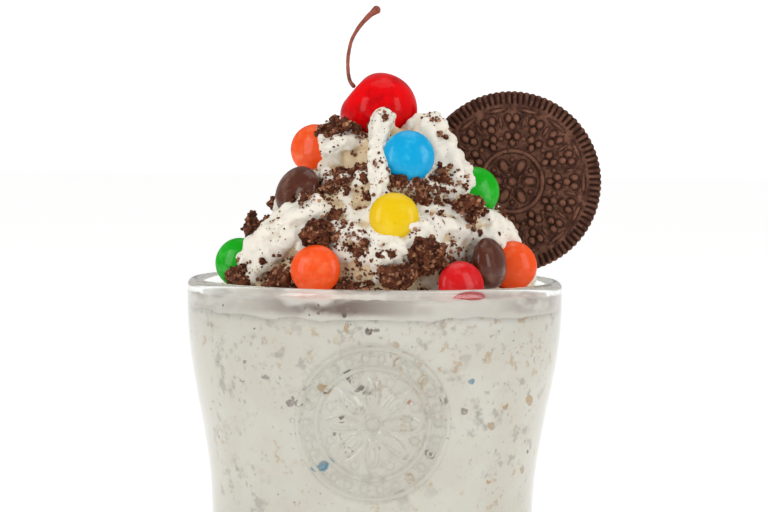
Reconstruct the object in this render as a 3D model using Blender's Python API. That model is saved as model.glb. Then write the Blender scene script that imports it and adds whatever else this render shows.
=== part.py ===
"""A milkshake in a jar glass, heaped with piped cream, cookie crumbs, candies, a cherry and a whole cookie.

Metres, +Z up. The origin is the centre of the glass's flat base, and the dressed front faces -Y.
Places in the heap are given from the centre of the glass's rim, because the heap is laid out from there.
"""

import math

import bmesh
import bpy
import numpy as np
from mathutils import Matrix, Vector

MM = 0.001
GAP = 0.3 * MM  # air between two pieces that touch
WELD = 0.01 * MM

# Glass
GLASS_HEIGHT = 125 * MM
RIM_RADIUS = 46.6 * MM
WAIST_RADIUS = 40.2 * MM
BASE_RADIUS = 39.0 * MM
WALL = 3.6 * MM
LIP_BAND = 6 * MM  # upright band under the rim
FLARE = 52 * MM  # height over which the wall swells from the waist to the band
HEEL_RADIUS = 6 * MM
FLOOR_THICKNESS = 10 * MM
FLOOR_CORNER = 12 * MM
GLASS_SIDES = 44
WALL_LEVELS = 6
ARC_STEPS = 3
RIM = Vector((0, 0, GLASS_HEIGHT))

# Raised ring of the medallion on the front of the glass
MEDALLION_DROP = 31.6 * MM  # its centre below the rim
MEDALLION_RADIUS = 18.1 * MM
MEDALLION_BEAD = 0.55 * MM
MEDALLION_STEPS = 24
MEDALLION_SECTION = ((-1, -1.5), (1, -1.5), (0.7, 0.8), (-0.7, 0.8))  # across and out, in beads

# Drink
DRINK_DROP = 7.0 * MM  # the drink's surface below the rim

# Inside of the heap, as radius and height over the rim in mm, down to where its foot meets the glass
HEAP_PROFILE = ((0, 32.5), (6, 31.5), (11.5, 26.5), (18.5, 17.5), (25.5, 7.5), (36.5, 0.5))
HEAP_FOOT_DROP = 2.6 * MM  # the foot's edge below the rim
HEAP_SIDES = 28
HEAP_SHIFT = 2.0 * MM  # the heap stands this far to the right of the glass's axis

# Main piped rope, winding up from the front right
SPIRAL_TURNS = 3.15
SPIRAL_START = math.radians(-20)
SPIRAL_REACH = 25.5 * MM
SPIRAL_TOP_REACH = 4.0 * MM
SPIRAL_CLOSING = 0.72  # exponent: how evenly the rope closes in
SPIRAL_FOOT = 1.0 * MM
SPIRAL_TOP = 33.0 * MM
SPIRAL_FRONT_RISE = 2.2 * MM  # each turn stands higher in front than behind
SPIRAL_ROPE_FOOT = 8.3 * MM
SPIRAL_ROPE_TOP = 6.6 * MM
SPIRAL_PIECES = 4
SPIRAL_LAP = 0.05  # turns that one piece runs into the next

# Section of a piped rope
ROPE_STEP = 6.6 * MM
ROPE_RIDGES = 7
ROPE_RIDGE_DEPTH = 0.10
ROPE_TWIST = 55.0  # turn of the ridges, in radians for each metre of rope
ROPE_ENDS = (0.42, 0.84)  # share of the radius left at a rope's last rings

# Single folds over the main rope: radius at both ends, ridges, and the points it passes, in mm
FOLDS = {
    "tongue": (3.0, 2.4, 5, ((3, -10, 41.5), (1.2, -14.5, 37.5), (0.6, -21, 31), (1, -26, 24), (2, -28, 17))),
    "right_crest": (5.2, 6.1, 6, ((9.5, -5.5, 40), (13.4, -8.5, 34.5), (16.7, -11.5, 27.5), (20, -14, 20))),
    "left_crest": (6.6, 6.2, 6, ((-13, -7.5, 30), (-7.5, -9.5, 33), (-2, -10, 34))),
    "front_curl": (6.0, 5.6, 6, ((2.5, -28.5, 1), (3, -30.5, 6.5), (8.5, -29.5, 10.5), (15.5, -27, 11.5))),
    "left_skirt": (6.2, 5.4, 6, ((-29, -14, -1), (-25.5, -18.5, 7), (-18.5, -22.5, 14), (-10.5, -24.5, 19))),
    "right_skirt": (5.6, 6.2, 6, ((33, -6, 6), (28, -11.5, 11.5), (20.5, -19, 13.5))),
    "back_fold": (6.0, 5.4, 6, ((-8, 25, 4), (2, 22, 14), (9, 15, 24))),
}

# Crumbs fused to the cream
CRUMB_SEED = 11
VALLEY_CRUMBS_PER_TURN = 9
VALLEY_CRUMB_SIZES = (1.3 * MM, 2.1 * MM)
VALLEY_CRUMB_STAND = 1.3 * MM  # how far they stand out of the valley between two turns
SKIN_CRUMBS = 13
SKIN_CRUMB_SIZES = (0.8 * MM, 1.4 * MM)
CRUMB_FLATNESS = (1.0, 0.8, 0.7)

# Candies: name, colour, centre from the rim in mm, the way the flat side faces, size against the standard
CANDY_RADIUS = 6.15 * MM
CANDY_HALF_THICKNESS = 3.25 * MM
CANDY_SIDES = 12
CANDY_LEVELS = 7
CANDIES = (
    ("candy_blue", "blue", (7.9, -21.6, 31.0), (0.12, -0.97, 0.20), 1.02),
    ("candy_yellow", "yellow", (4.5, -31.6, 16.6), (0.02, -0.97, 0.24), 0.97),
    ("candy_orange_high", "orange", (-15.4, -3.6, 32.2), (-0.35, -0.92, 0.18), 1.0),
    ("candy_brown_left", "brown", (-19.0, -18.0, 22.2), (-0.62, -0.66, 0.42), 1.03),
    ("candy_green_left", "green", (-33.2, -11.0, 4.2), (-0.22, -0.97, 0.12), 0.99),
    ("candy_orange_low", "orange", (-14.0, -34.0, 4.0), (-0.10, -0.98, 0.16), 0.97),
    ("candy_red", "red", (20.6, -33.4, 0.6), (0.40, -0.90, 0.16), 0.95),
    ("candy_brown_right", "brown", (27.6, -25.6, 5.6), (0.86, -0.48, 0.18), 1.0),
    ("candy_orange_right", "orange", (33.7, -14.6, 4.4), (0.24, -0.96, 0.12), 0.98),
    ("candy_green_right", "green", (24.6, -10.0, 22.4), (0.30, -0.93, 0.22), 0.97),
    ("candy_yellow_back", "yellow", (-17.0, 24.5, 13.0), (-0.50, 0.80, 0.34), 1.0),
    ("candy_blue_back", "blue", (-1.5, 33.5, 6.0), (-0.05, 0.96, 0.28), 0.98),
    ("candy_red_back", "red", (-8.5, 15.5, 31.0), (-0.38, 0.83, 0.40), 1.0),
    ("candy_green_back", "green", (-28.5, 20.5, 4.0), (-0.78, 0.55, 0.30), 0.98),
)

# Broken cookie pieces: name, centre from the rim and half sizes in mm, and whether it is a crag or a plate
CHUNKS = (
    ("chunk_front", (12.2, -33.4, 7.9), (5.6, 2.9, 3.8), "crag"),
    ("chunk_wafer_front", (6.2, -37.2, 2.8), (3.8, 1.5, 3.0), "plate"),
    ("chunk_left", (-13.6, -30.6, 12.2), (3.0, 2.4, 3.2), "crag"),
    ("chunk_wafer_left", (-30.6, -6.6, 13.0), (3.0, 1.5, 2.8), "plate"),
    ("chunk_green", (-33.4, -18.2, 1.4), (3.6, 1.5, 2.2), "plate"),
    ("chunk_rim", (-22.6, -30.8, 0.9), (3.2, 1.8, 1.7), "plate"),
    ("chunk_high", (-9.2, -13.6, 37.6), (3.2, 1.7, 1.5), "crag"),
    ("chunk_right", (21.6, -24.2, 19.4), (2.8, 2.2, 2.4), "crag"),
    ("chunk_back", (9.0, 30.5, 10.0), (4.4, 2.6, 3.4), "crag"),
    ("chunk_wafer_back", (-24.5, 18.5, 18.0), (3.4, 1.5, 2.8), "plate"),
)
CRAG_ROUGHNESS = 0.13
PLATE_CORNERS = 9
PLATE_SECTION = ((0.72, -1.0), (1.0, -0.6), (0.98, 0.55), (0.74, 1.0))  # reach and level, in half sizes
PLATE_TILT = 12  # a plate faces this far up, in mm over its distance from the axis

# Cherry and stem
CHERRY_RADIUS = 9.55 * MM
CHERRY_CENTRE = Vector((0.5, -1.0, 41.6)) * MM
CHERRY_LEVELS = 11
CHERRY_SIDES = 20
CHERRY_DIMPLE = 0.17  # depth of the dimple, in radii
CHERRY_DIMPLE_WIDTH = 0.42  # in radians
CHERRY_WAIST = 0.03
STEM_LEAN = Vector((-0.76, 0.0, 0.65))  # the way the dimple faces
STEM_RADIUS = 0.5 * MM
STEM = (  # points from the rim in mm with the swelling there: it rises, bends right and ends in a knob
    (-5.5, -0.9, 47.4, 1.15),
    (-6.8, -0.7, 49.2, 1.0),
    (-7.3, -0.4, 52.4, 0.9),
    (-7.2, -0.1, 55.4, 0.9),
    (-6.5, 0.1, 58.9, 0.9),
    (-4.9, 0.3, 62.0, 1.0),
    (-2.7, 0.4, 64.7, 1.25),
    (-1.0, 0.5, 66.2, 1.75),
    (-0.1, 0.5, 66.9, 2.2),
    (0.5, 0.5, 67.3, 1.7),
)

# Sandwich cookie
COOKIE_RADIUS = 22.9 * MM
WAFER_THICKNESS = 3.3 * MM
WAFER_BAND = 3.6 * MM  # width of the fluted band round the face
FILLING_THICKNESS = 3.0 * MM
FILLING_RADIUS = 20.6 * MM
FILLING_SIDES = 36
COOKIE_CENTRE = Vector((33.9, 14.6, 23.9)) * MM
COOKIE_YAW = math.radians(4)
COOKIE_LEAN = math.radians(-5)
FLUTES = 48
FLUTE_DEPTH = 0.55 * MM
SEAT_SPARE = 0.5 * MM
SEAT_SIDES = 48

# Colours on screen, 0 to 255
CANDY_COLOURS = {
    "blue": (2, 158, 220),
    "yellow": (236, 198, 8),
    "orange": (242, 74, 8),
    "brown": (84, 46, 30),
    "green": (14, 168, 20),
    "red": (206, 22, 24),
}
GLASS_COLOUR = (225, 228, 226)
DRINK_COLOUR = (216, 211, 200)
CREAM_COLOUR = (234, 231, 221)
CRUMB_COLOUR = (84, 54, 42)
WAFER_COLOUR = (92, 68, 57)
FILLING_COLOUR = (238, 232, 215)
CHERRY_COLOUR = (214, 6, 12)
STEM_COLOUR = (140, 70, 48)


def linear(level):
    """Linear level of one channel of a screen colour."""
    share = level / 255
    return share / 12.92 if share <= 0.04045 else ((share + 0.055) / 1.055) ** 2.4


def finish(name, colour, roughness, transmission=0.0):
    """A Principled material of one colour."""
    material = bpy.data.materials.new(name)
    material.use_nodes = True
    shader = material.node_tree.nodes["Principled BSDF"]
    rgba = (*(linear(level) for level in colour), 1)
    shader.inputs["Base Color"].default_value = rgba
    shader.inputs["Roughness"].default_value = roughness
    shader.inputs["Transmission Weight"].default_value = transmission
    material.diffuse_color = rgba
    return material


def add_object(name, mesh, material=None, smooth_angle=40):
    """Links a mesh as a named object, shaded smooth but for edges over an angle."""
    mesh.shade_smooth()
    mesh.set_sharp_from_angle(angle=math.radians(smooth_angle))
    made = bpy.data.objects.new(name, mesh)
    bpy.context.scene.collection.objects.link(made)
    if material is not None:
        mesh.materials.append(material)
    return made


def mesh_of(name, work):
    """Turns an edit mesh into a mesh and frees it."""
    mesh = bpy.data.meshes.new(name)
    work.to_mesh(mesh)
    work.free()
    return mesh


def mesh_from_rings(name, rings, closed=False):
    """A closed mesh from rings of equal length along a path, with filled ends unless the path is closed."""
    rings = np.asarray(rings, float)
    count, sides, _ = rings.shape
    ring, side = np.meshgrid(np.arange(count if closed else count - 1), np.arange(sides), indexing="ij")
    after = (ring + 1) % count
    beside = (side + 1) % sides
    corners = (ring * sides + side, ring * sides + beside, after * sides + beside, after * sides + side)
    faces = np.stack(corners, axis=-1).reshape(-1, 4).tolist()
    if not closed:
        faces.append(list(range(sides))[::-1])
        faces.append(list(range((count - 1) * sides, count * sides)))
    mesh = bpy.data.meshes.new(name)
    mesh.from_pydata(rings.reshape(-1, 3).tolist(), [], faces)
    work = bmesh.new()
    work.from_mesh(mesh)
    bmesh.ops.recalc_face_normals(work, faces=work.faces)
    work.to_mesh(mesh)
    work.free()
    return mesh


def disc_mesh(name, radius, thickness, sides, place=None):
    """A plain disc about Z, moved to a place."""
    work = bmesh.new()
    size = {"radius1": radius, "radius2": radius, "depth": thickness}
    bmesh.ops.create_cone(work, cap_ends=True, segments=sides, **size)
    work.transform(place or Matrix.Identity(4))
    return mesh_of(name, work)


def apply_modifiers(target):
    """Replaces an object's mesh by its evaluated one."""
    graph = bpy.context.evaluated_depsgraph_get()
    mesh = bpy.data.meshes.new_from_object(target.evaluated_get(graph))
    target.modifiers.clear()
    target.data = mesh


def turned(name, profile, material, sides):
    """Turns a line of (radius, height) about Z. The line meets the axis at both ends."""
    mesh = bpy.data.meshes.new(name)
    points = [(radius, 0, height) for radius, height in profile]
    mesh.from_pydata(points, [(i, i + 1) for i in range(len(points) - 1)], [])
    made = add_object(name, mesh, material)
    screw = made.modifiers.new("Turn", "SCREW")
    screw.steps = screw.render_steps = sides
    screw.use_merge_vertices = True
    screw.merge_threshold = WELD
    screw.use_smooth_shade = True
    apply_modifiers(made)
    return made


def triangulate(target):
    """Splits an object's faces into triangles, so that a Boolean meets no bent face."""
    work = bmesh.new()
    work.from_mesh(target.data)
    bmesh.ops.triangulate(work, faces=work.faces)
    work.to_mesh(target.data)
    work.free()


def combine(target, operation, others):
    """Applies one Boolean of the other objects on target, and removes them."""
    group = bpy.data.collections.new(target.name + "_" + operation.lower())
    bpy.context.scene.collection.children.link(group)
    triangulate(target)
    for other in others:
        triangulate(other)
        group.objects.link(other)
    boolean = target.modifiers.new(operation, "BOOLEAN")
    boolean.operation = operation
    boolean.operand_type = "COLLECTION"
    boolean.collection = group
    bpy.context.view_layer.update()
    apply_modifiers(target)
    for other in others:
        bpy.data.objects.remove(other)
    bpy.data.collections.remove(group)


def connected(start, unseen):
    """The vertices that hang together with one, taken out of the unseen ones."""
    body = {start}
    front = [start]
    while front:
        vertex = front.pop()
        beside = {edge.other_vert(vertex) for edge in vertex.link_edges} & unseen
        unseen -= beside
        body |= beside
        front.extend(beside)
    return body


def keep_largest(target):
    """Drops the loose scraps that a cut leaves, and keeps the largest body."""
    work = bmesh.new()
    work.from_mesh(target.data)
    unseen = set(work.verts)
    bodies = []
    while unseen:
        bodies.append(connected(unseen.pop(), unseen))
    bodies.sort(key=len)
    for body in bodies[:-1]:
        bmesh.ops.delete(work, geom=list(body), context="VERTS")
    work.to_mesh(target.data)
    work.free()


def facing(direction):
    """The turn that takes +Z to a direction."""
    return Vector(direction).to_track_quat("Z", "Y").to_matrix().to_4x4()


def from_rim(place):
    """A place given from the rim's centre in mm, in the scene."""
    return RIM + Vector(place) * MM


# Glass and drink


def outer_radius(height):
    """Outer radius of the glass: a half-cosine swell from waist to band, and a taper to the base."""
    waist = GLASS_HEIGHT - LIP_BAND - FLARE
    if height < waist:
        return BASE_RADIUS + (WAIST_RADIUS - BASE_RADIUS) * math.sqrt(height / waist)
    share = min(1.0, (GLASS_HEIGHT - LIP_BAND - height) / FLARE)
    return RIM_RADIUS - (RIM_RADIUS - WAIST_RADIUS) * 0.5 * (1 - math.cos(math.pi * share))


def arc(centre, radius, start, end, steps=ARC_STEPS):
    """Points of a circular arc in the (radius, height) plane, with the angles in degrees."""
    angles = np.radians(np.linspace(start, end, steps + 1))
    return [(centre[0] + radius * math.cos(a), centre[1] + radius * math.sin(a)) for a in angles]


def swell(levels):
    """Heights down the swelling stretch of the wall."""
    return np.linspace(GLASS_HEIGHT - LIP_BAND, GLASS_HEIGHT - LIP_BAND - FLARE, levels)


def inner_wall(inset):
    """The inner wall from under the band down to the floor's centre, taken in by inset."""
    points = [(outer_radius(height) - WALL - inset, height) for height in swell(WALL_LEVELS - 2)]
    floor = FLOOR_THICKNESS + inset
    side = outer_radius(floor + FLOOR_CORNER) - WALL - inset
    points += arc((side - FLOOR_CORNER, floor + FLOOR_CORNER), FLOOR_CORNER, 0, -90)
    return [*points, (0, floor)]


def make_glass(material):
    """The jar glass: rounded lip, thick floor, rounded heel, and a raised ring on its front."""
    lip = WALL / 2
    side = outer_radius(HEEL_RADIUS)
    profile = inner_wall(0)[::-1]
    profile += arc((RIM_RADIUS - lip, GLASS_HEIGHT - lip), lip, 180, 0, ARC_STEPS + 1)
    profile += [(outer_radius(height), height) for height in swell(WALL_LEVELS)]
    profile += arc((side - HEEL_RADIUS, HEEL_RADIUS), HEEL_RADIUS, 0, -90)
    glass = turned("glass", [*profile, (0, 0)], material, GLASS_SIDES)
    combine(glass, "UNION", [medallion_ring()])


def on_front(across, height):
    """The point of the outer wall a distance across from the middle of the front, measured round the wall."""
    radius = outer_radius(height)
    turn = across / radius
    return Vector((radius * math.sin(turn), -radius * math.cos(turn), height))


def medallion_ring():
    """A raised ring laid on the front of the glass, as a bead half sunk in the wall."""
    middle = GLASS_HEIGHT - MEDALLION_DROP
    rings = []
    for angle in np.linspace(0, 2 * math.pi, MEDALLION_STEPS, endpoint=False):
        section = []
        for across, out in MEDALLION_SECTION:
            reach = MEDALLION_RADIUS + across * MEDALLION_BEAD
            point = on_front(reach * math.cos(angle), middle + reach * math.sin(angle))
            outward = Vector((point.x, point.y, 0)).normalized()
            section.append(point + outward * out * MEDALLION_BEAD)
        rings.append(section)
    return add_object("medallion_ring", mesh_from_rings("medallion_ring", rings, closed=True))


def make_drink(material):
    """The drink, filling the glass up to its level."""
    level = GLASS_HEIGHT - DRINK_DROP
    wall = inner_wall(GAP)[1:]
    edge = (outer_radius(level) - WALL - GAP, level)
    turned("milkshake", [(0, level), edge, *wall], material, GLASS_SIDES)


# Cream


def spiral(turns):
    """Centre of the main rope after some turns, from the rim: it closes in and climbs as it winds."""
    share = turns / SPIRAL_TURNS
    reach = SPIRAL_REACH * (1 - share) ** SPIRAL_CLOSING + SPIRAL_TOP_REACH
    angle = 2 * math.pi * turns + SPIRAL_START
    climb = SPIRAL_FOOT + (SPIRAL_TOP - SPIRAL_FOOT) * share
    climb -= SPIRAL_FRONT_RISE * math.sin(math.pi * share) * math.sin(angle)
    shift = HEAP_SHIFT * (1 + 0.5 * share)
    return Vector((shift + reach * math.cos(angle), reach * math.sin(angle), climb))


def spiral_radius(turns):
    """The main rope's radius, thinner towards the top."""
    return SPIRAL_ROPE_FOOT + (SPIRAL_ROPE_TOP - SPIRAL_ROPE_FOOT) * turns / SPIRAL_TURNS


def rope(name, path, radii, ridges):
    """A piped rope: a ridged round section carried along a path, turning slowly, with both ends drawn in."""
    radii = np.array(radii, float)
    for i, share in enumerate(ROPE_ENDS):
        radii[i] *= share
        radii[-1 - i] *= share
    side = None
    travelled = 0.0
    rings = []
    for i, point in enumerate(path):
        before = path[max(i - 1, 0)]
        forward = (path[min(i + 1, len(path) - 1)] - before).normalized()
        side = (side or forward.orthogonal()).copy()
        side = (side - forward * side.dot(forward)).normalized()
        across = forward.cross(side)
        travelled += (point - before).length
        angles = np.arange(2 * ridges) * math.pi / ridges
        reach = radii[i] * (1 - ROPE_RIDGE_DEPTH * (np.arange(2 * ridges) % 2))
        turned_by = angles + ROPE_TWIST * travelled
        out = np.outer(reach * np.cos(turned_by), side) + np.outer(reach * np.sin(turned_by), across)
        rings.append(np.array(point) + out)
    return add_object(name, mesh_from_rings(name, rings))


def smooth_path(points, step):
    """Points about a step apart on a Catmull-Rom curve through the given ones."""
    ends = [points[0] * 2 - points[1], *points, points[-1] * 2 - points[-2]]
    made = []
    for a, b, c, d in zip(ends, ends[1:], ends[2:], ends[3:]):
        parts = max(1, round((c - b).length / step))
        for part in range(parts):
            t = part / parts
            bend = (c - a) * t + (2 * a - 5 * b + 4 * c - d) * t**2 + (3 * b - a - 3 * c + d) * t**3
            made.append(b + 0.5 * bend)
    return [*made, points[-1]]


def spiral_pieces():
    """The main rope, in pieces under one turn each that run into one another."""
    made = []
    share = SPIRAL_TURNS / SPIRAL_PIECES
    for piece in range(SPIRAL_PIECES):
        start = max(0.0, piece * share - SPIRAL_LAP)
        end = min(SPIRAL_TURNS, (piece + 1) * share + SPIRAL_LAP)
        middle = spiral((start + end) / 2) - Vector((HEAP_SHIFT, 0, 0))
        length = 2 * math.pi * (end - start) * middle.xy.length
        turns = np.linspace(start, end, round(length / ROPE_STEP) + 2)
        path = [RIM + spiral(t) for t in turns]
        made.append(rope(f"spiral_{piece}", path, [spiral_radius(t) for t in turns], ROPE_RIDGES))
    return made


def folds():
    """The single folds that lie over the main rope."""
    made = []
    for name, (first, last, ridges, points) in FOLDS.items():
        path = smooth_path([from_rim(point) for point in points], 0.8 * ROPE_STEP)
        made.append(rope(name, path, np.linspace(first, last, len(path)) * MM, ridges))
    return made


def crag(name, centre, half, seed, detail, roughness):
    """A crag: an icosphere of some half sizes with its points pushed in and out, turned at random."""
    draw = np.random.default_rng(seed)
    work = bmesh.new()
    bmesh.ops.create_icosphere(work, subdivisions=detail, radius=1)
    for vertex in work.verts:
        vertex.co *= 1 + roughness * draw.uniform(-1, 1)
    turn = Matrix.Rotation(draw.uniform(-0.5, 0.5), 4, Vector(draw.normal(size=3)))
    work.transform(Matrix.Translation(centre) @ turn @ Matrix.Diagonal((*half, 1)))
    return add_object(name, mesh_of(name, work), smooth_angle=20)


def outward_of(place):
    """The level direction from the heap's axis to a place given from the rim."""
    return Vector((place.x - HEAP_SHIFT, place.y, 0)).normalized()


def valley_crumbs(draw):
    """Places and sizes of the crumbs in the valley between one turn of the rope and the next."""
    made = []
    for turns in np.arange(0.02, SPIRAL_TURNS - 1, 1 / VALLEY_CRUMBS_PER_TURN):
        low = spiral(turns)
        high = spiral(turns + 1)
        middle = (low + high) / 2
        along = (high - low).normalized()
        outward = outward_of(middle)
        outward = (outward - along * outward.dot(along)).normalized()
        half = (high - low).length / 2
        depth = math.sqrt(max(0.0, spiral_radius(turns + 0.5) ** 2 - half**2))
        place = RIM + middle + outward * (depth + VALLEY_CRUMB_STAND)
        made.append((place, draw.uniform(*VALLEY_CRUMB_SIZES)))
    return made


def skin_crumbs(draw):
    """Places and sizes of the crumbs scattered on the rope's outer side."""
    made = []
    for _ in range(SKIN_CRUMBS):
        turns = SPIRAL_TURNS * draw.uniform(0.02, 0.9)
        centre = spiral(turns)
        tilt = math.radians(draw.uniform(0, 75))
        way = outward_of(centre) * math.cos(tilt) + Vector((0, 0, math.sin(tilt)))
        made.append((RIM + centre + way * spiral_radius(turns), draw.uniform(*SKIN_CRUMB_SIZES)))
    return made


def make_crumbs(material, avoid):
    """The crumbs that lie clear of every (place, reach) to avoid."""
    draw = np.random.default_rng(CRUMB_SEED)
    made = []
    for i, (place, size) in enumerate(valley_crumbs(draw) + skin_crumbs(draw)):
        if any((place - other).length < size + reach for other, reach in avoid):
            continue
        half = [size * share for share in CRUMB_FLATNESS]
        crumb = crag(f"crumb_{i}", place, half, seed=100 + i, detail=1, roughness=0.22)
        crumb.data.materials.append(material)
        made.append(crumb)
    return made


def make_core(material):
    """The inside of the heap, out to its foot, which spreads over the drink to the glass."""
    bottom = GLASS_HEIGHT - DRINK_DROP + GAP
    reach = outer_radius(bottom) - WALL - 2 * GAP
    profile = [(radius * MM, GLASS_HEIGHT + height * MM) for radius, height in HEAP_PROFILE]
    profile += [(reach, GLASS_HEIGHT - HEAP_FOOT_DROP), (reach, bottom), (0, bottom)]
    return turned("whipped_cream", profile, material, HEAP_SIDES)


def grown(source):
    """A copy of an object with its skin moved out by the gap, to cut its seat with."""
    graph = bpy.context.evaluated_depsgraph_get()
    mesh = bpy.data.meshes.new_from_object(source.evaluated_get(graph))
    mesh.transform(source.matrix_world)
    work = bmesh.new()
    work.from_mesh(mesh)
    work.normal_update()
    moves = [vertex.normal * GAP * min(2.0, vertex.calc_shell_factor()) for vertex in work.verts]
    for vertex, move in zip(work.verts, moves):
        vertex.co += move
    return add_object(source.name + "_seat", mesh_of(source.name + "_seat", work))


def make_cream(material, crumb_material, seated, avoid):
    """The heap: core, ropes and crumbs fused into one, with a seat cut for each piece set in it."""
    cream = make_core(material)
    combine(cream, "UNION", spiral_pieces() + folds() + make_crumbs(crumb_material, avoid))
    combine(cream, "DIFFERENCE", [cookie_seat(), *(grown(piece) for piece in seated)])
    keep_largest(cream)


# Candies and cookie pieces


def make_candy(name, centre, direction, size, material):
    """A candy: a flattened sphere."""
    work = bmesh.new()
    bmesh.ops.create_uvsphere(work, u_segments=CANDY_SIDES, v_segments=CANDY_LEVELS, radius=size)
    work.transform(Matrix.Diagonal((CANDY_RADIUS, CANDY_RADIUS, CANDY_HALF_THICKNESS, 1)))
    made = add_object(name, mesh_of(name, work), material, smooth_angle=80)
    made.matrix_world = Matrix.Translation(from_rim(centre)) @ facing(direction)
    return made


def plate(name, centre, half, seed):
    """A broken plate of wafer: a ragged outline with two worn faces, turned outwards and up."""
    draw = np.random.default_rng(seed)
    step = 2 * math.pi / PLATE_CORNERS
    angles = np.arange(PLATE_CORNERS) * step + draw.uniform(-0.25, 0.25, PLATE_CORNERS) * step
    outline = draw.uniform(0.78, 1.08, PLATE_CORNERS)
    rings = []
    for reach, level in PLATE_SECTION:
        radius = outline * reach * draw.uniform(0.94, 1.06, PLATE_CORNERS)
        across = half[0] * radius * np.cos(angles)
        up = half[2] * radius * np.sin(angles)
        rings.append(np.stack([across, up, half[1] * level + 0 * angles], axis=-1))
    made = add_object(name, mesh_from_rings(name, rings), smooth_angle=20)
    made.matrix_world = Matrix.Translation(from_rim(centre)) @ facing((centre[0], centre[1], PLATE_TILT))
    return made


def make_chunk(name, centre, size, kind, seed, material):
    """A broken piece of cookie, as a crag or as a plate of wafer."""
    half = [side * MM for side in size]
    if kind == "plate":
        made = plate(name, centre, half, seed)
    else:
        made = crag(name, from_rim(centre), half, seed, detail=2, roughness=CRAG_ROUGHNESS)
    made.data.materials.append(material)
    return made


# Cherry


def make_cherry(material):
    """A round cherry, dimpled where its stem grows."""
    angles = np.linspace(0, 2 * math.pi, CHERRY_SIDES, endpoint=False)
    rings = []
    for polar in math.pi * np.arange(1, CHERRY_LEVELS) / CHERRY_LEVELS:
        dimple = 1 - CHERRY_DIMPLE * math.exp(-((polar / CHERRY_DIMPLE_WIDTH) ** 2))
        radius = CHERRY_RADIUS * dimple * (1 - CHERRY_WAIST * math.cos(2 * polar))
        level = np.full(CHERRY_SIDES, radius * math.cos(polar))
        across = radius * math.sin(polar)
        rings.append(np.stack([across * np.cos(angles), across * np.sin(angles), level], axis=-1))
    cherry = add_object("cherry", mesh_from_rings("cherry", rings), material, smooth_angle=70)
    cherry.matrix_world = Matrix.Translation(RIM + CHERRY_CENTRE) @ facing(STEM_LEAN)
    return cherry


def make_stem(material):
    """The cherry's stem, a thin tube that swells to a knob at its tip."""
    curve = bpy.data.curves.new("cherry_stem", "CURVE")
    curve.dimensions = "3D"
    curve.bevel_depth = STEM_RADIUS
    curve.bevel_resolution = 2
    curve.use_fill_caps = True
    spline = curve.splines.new("POLY")
    spline.points.add(len(STEM) - 1)
    for point, (x, y, z, swelling) in zip(spline.points, STEM):
        point.co = (*from_rim((x, y, z)), 1)
        point.radius = swelling
    stem = bpy.data.objects.new("cherry_stem", curve)
    bpy.context.scene.collection.objects.link(stem)
    curve.materials.append(material)


# Sandwich cookie


def cookie_place():
    """The cookie's own frame: its middle, with its axis to the front."""
    yaw = Matrix.Rotation(COOKIE_YAW, 4, "Z")
    lean = Matrix.Rotation(COOKIE_LEAN + math.pi / 2, 4, "X")
    return Matrix.Translation(RIM + COOKIE_CENTRE) @ yaw @ lean


def wafer_mesh(name):
    """A wafer lying face up on z = 0, fluted round its edge."""
    angles = np.arange(FLUTES * 2) * math.pi / FLUTES
    valley = np.arange(FLUTES * 2) % 2
    rings = []
    for radius, height, fluted in (
        (COOKIE_RADIUS - 1.2 * MM, 0.0, 0.3),
        (COOKIE_RADIUS, 0.9 * MM, 1.0),
        (COOKIE_RADIUS - 0.2 * MM, WAFER_THICKNESS - 0.7 * MM, 1.0),
        (COOKIE_RADIUS - WAFER_BAND, WAFER_THICKNESS, 0.0),
    ):
        reach = radius - FLUTE_DEPTH * fluted * valley
        ring = [reach * np.cos(angles), reach * np.sin(angles), 0 * angles + height]
        rings.append(np.stack(ring, axis=-1))
    return mesh_from_rings(name, rings)


def make_cookie(wafer_material, filling_material):
    """Two fluted wafers with a filling between them."""
    place = cookie_place()
    lift = Matrix.Translation((0, 0, FILLING_THICKNESS / 2 + GAP))
    for name, turn in (("cookie_wafer_front", 0), ("cookie_wafer_back", math.pi)):
        wafer = add_object(name, wafer_mesh(name), wafer_material, smooth_angle=25)
        wafer.matrix_world = place @ Matrix.Rotation(turn, 4, "Y") @ lift
    mesh = disc_mesh("cookie_filling", FILLING_RADIUS, FILLING_THICKNESS, FILLING_SIDES)
    filling = add_object("cookie_filling", mesh, filling_material)
    filling.matrix_world = place


def cookie_seat():
    """A plain disc a little larger than the cookie, to cut its seat in the cream."""
    thickness = FILLING_THICKNESS + 2 * (WAFER_THICKNESS + GAP + SEAT_SPARE)
    mesh = disc_mesh("cookie_seat", COOKIE_RADIUS + SEAT_SPARE, thickness, SEAT_SIDES, cookie_place())
    return add_object("cookie_seat", mesh)


def places_to_avoid():
    """Where no fused crumb may lie: (place, reach) of each piece set in the cream."""
    made = [(from_rim(centre), CANDY_RADIUS + GAP) for _, _, centre, _, _ in CANDIES]
    made += [(from_rim(centre), max(size) * MM + GAP) for _, centre, size, _ in CHUNKS]
    made.append((RIM + CHERRY_CENTRE, CHERRY_RADIUS + GAP))
    made.append((RIM + COOKIE_CENTRE, COOKIE_RADIUS))
    return made


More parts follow.
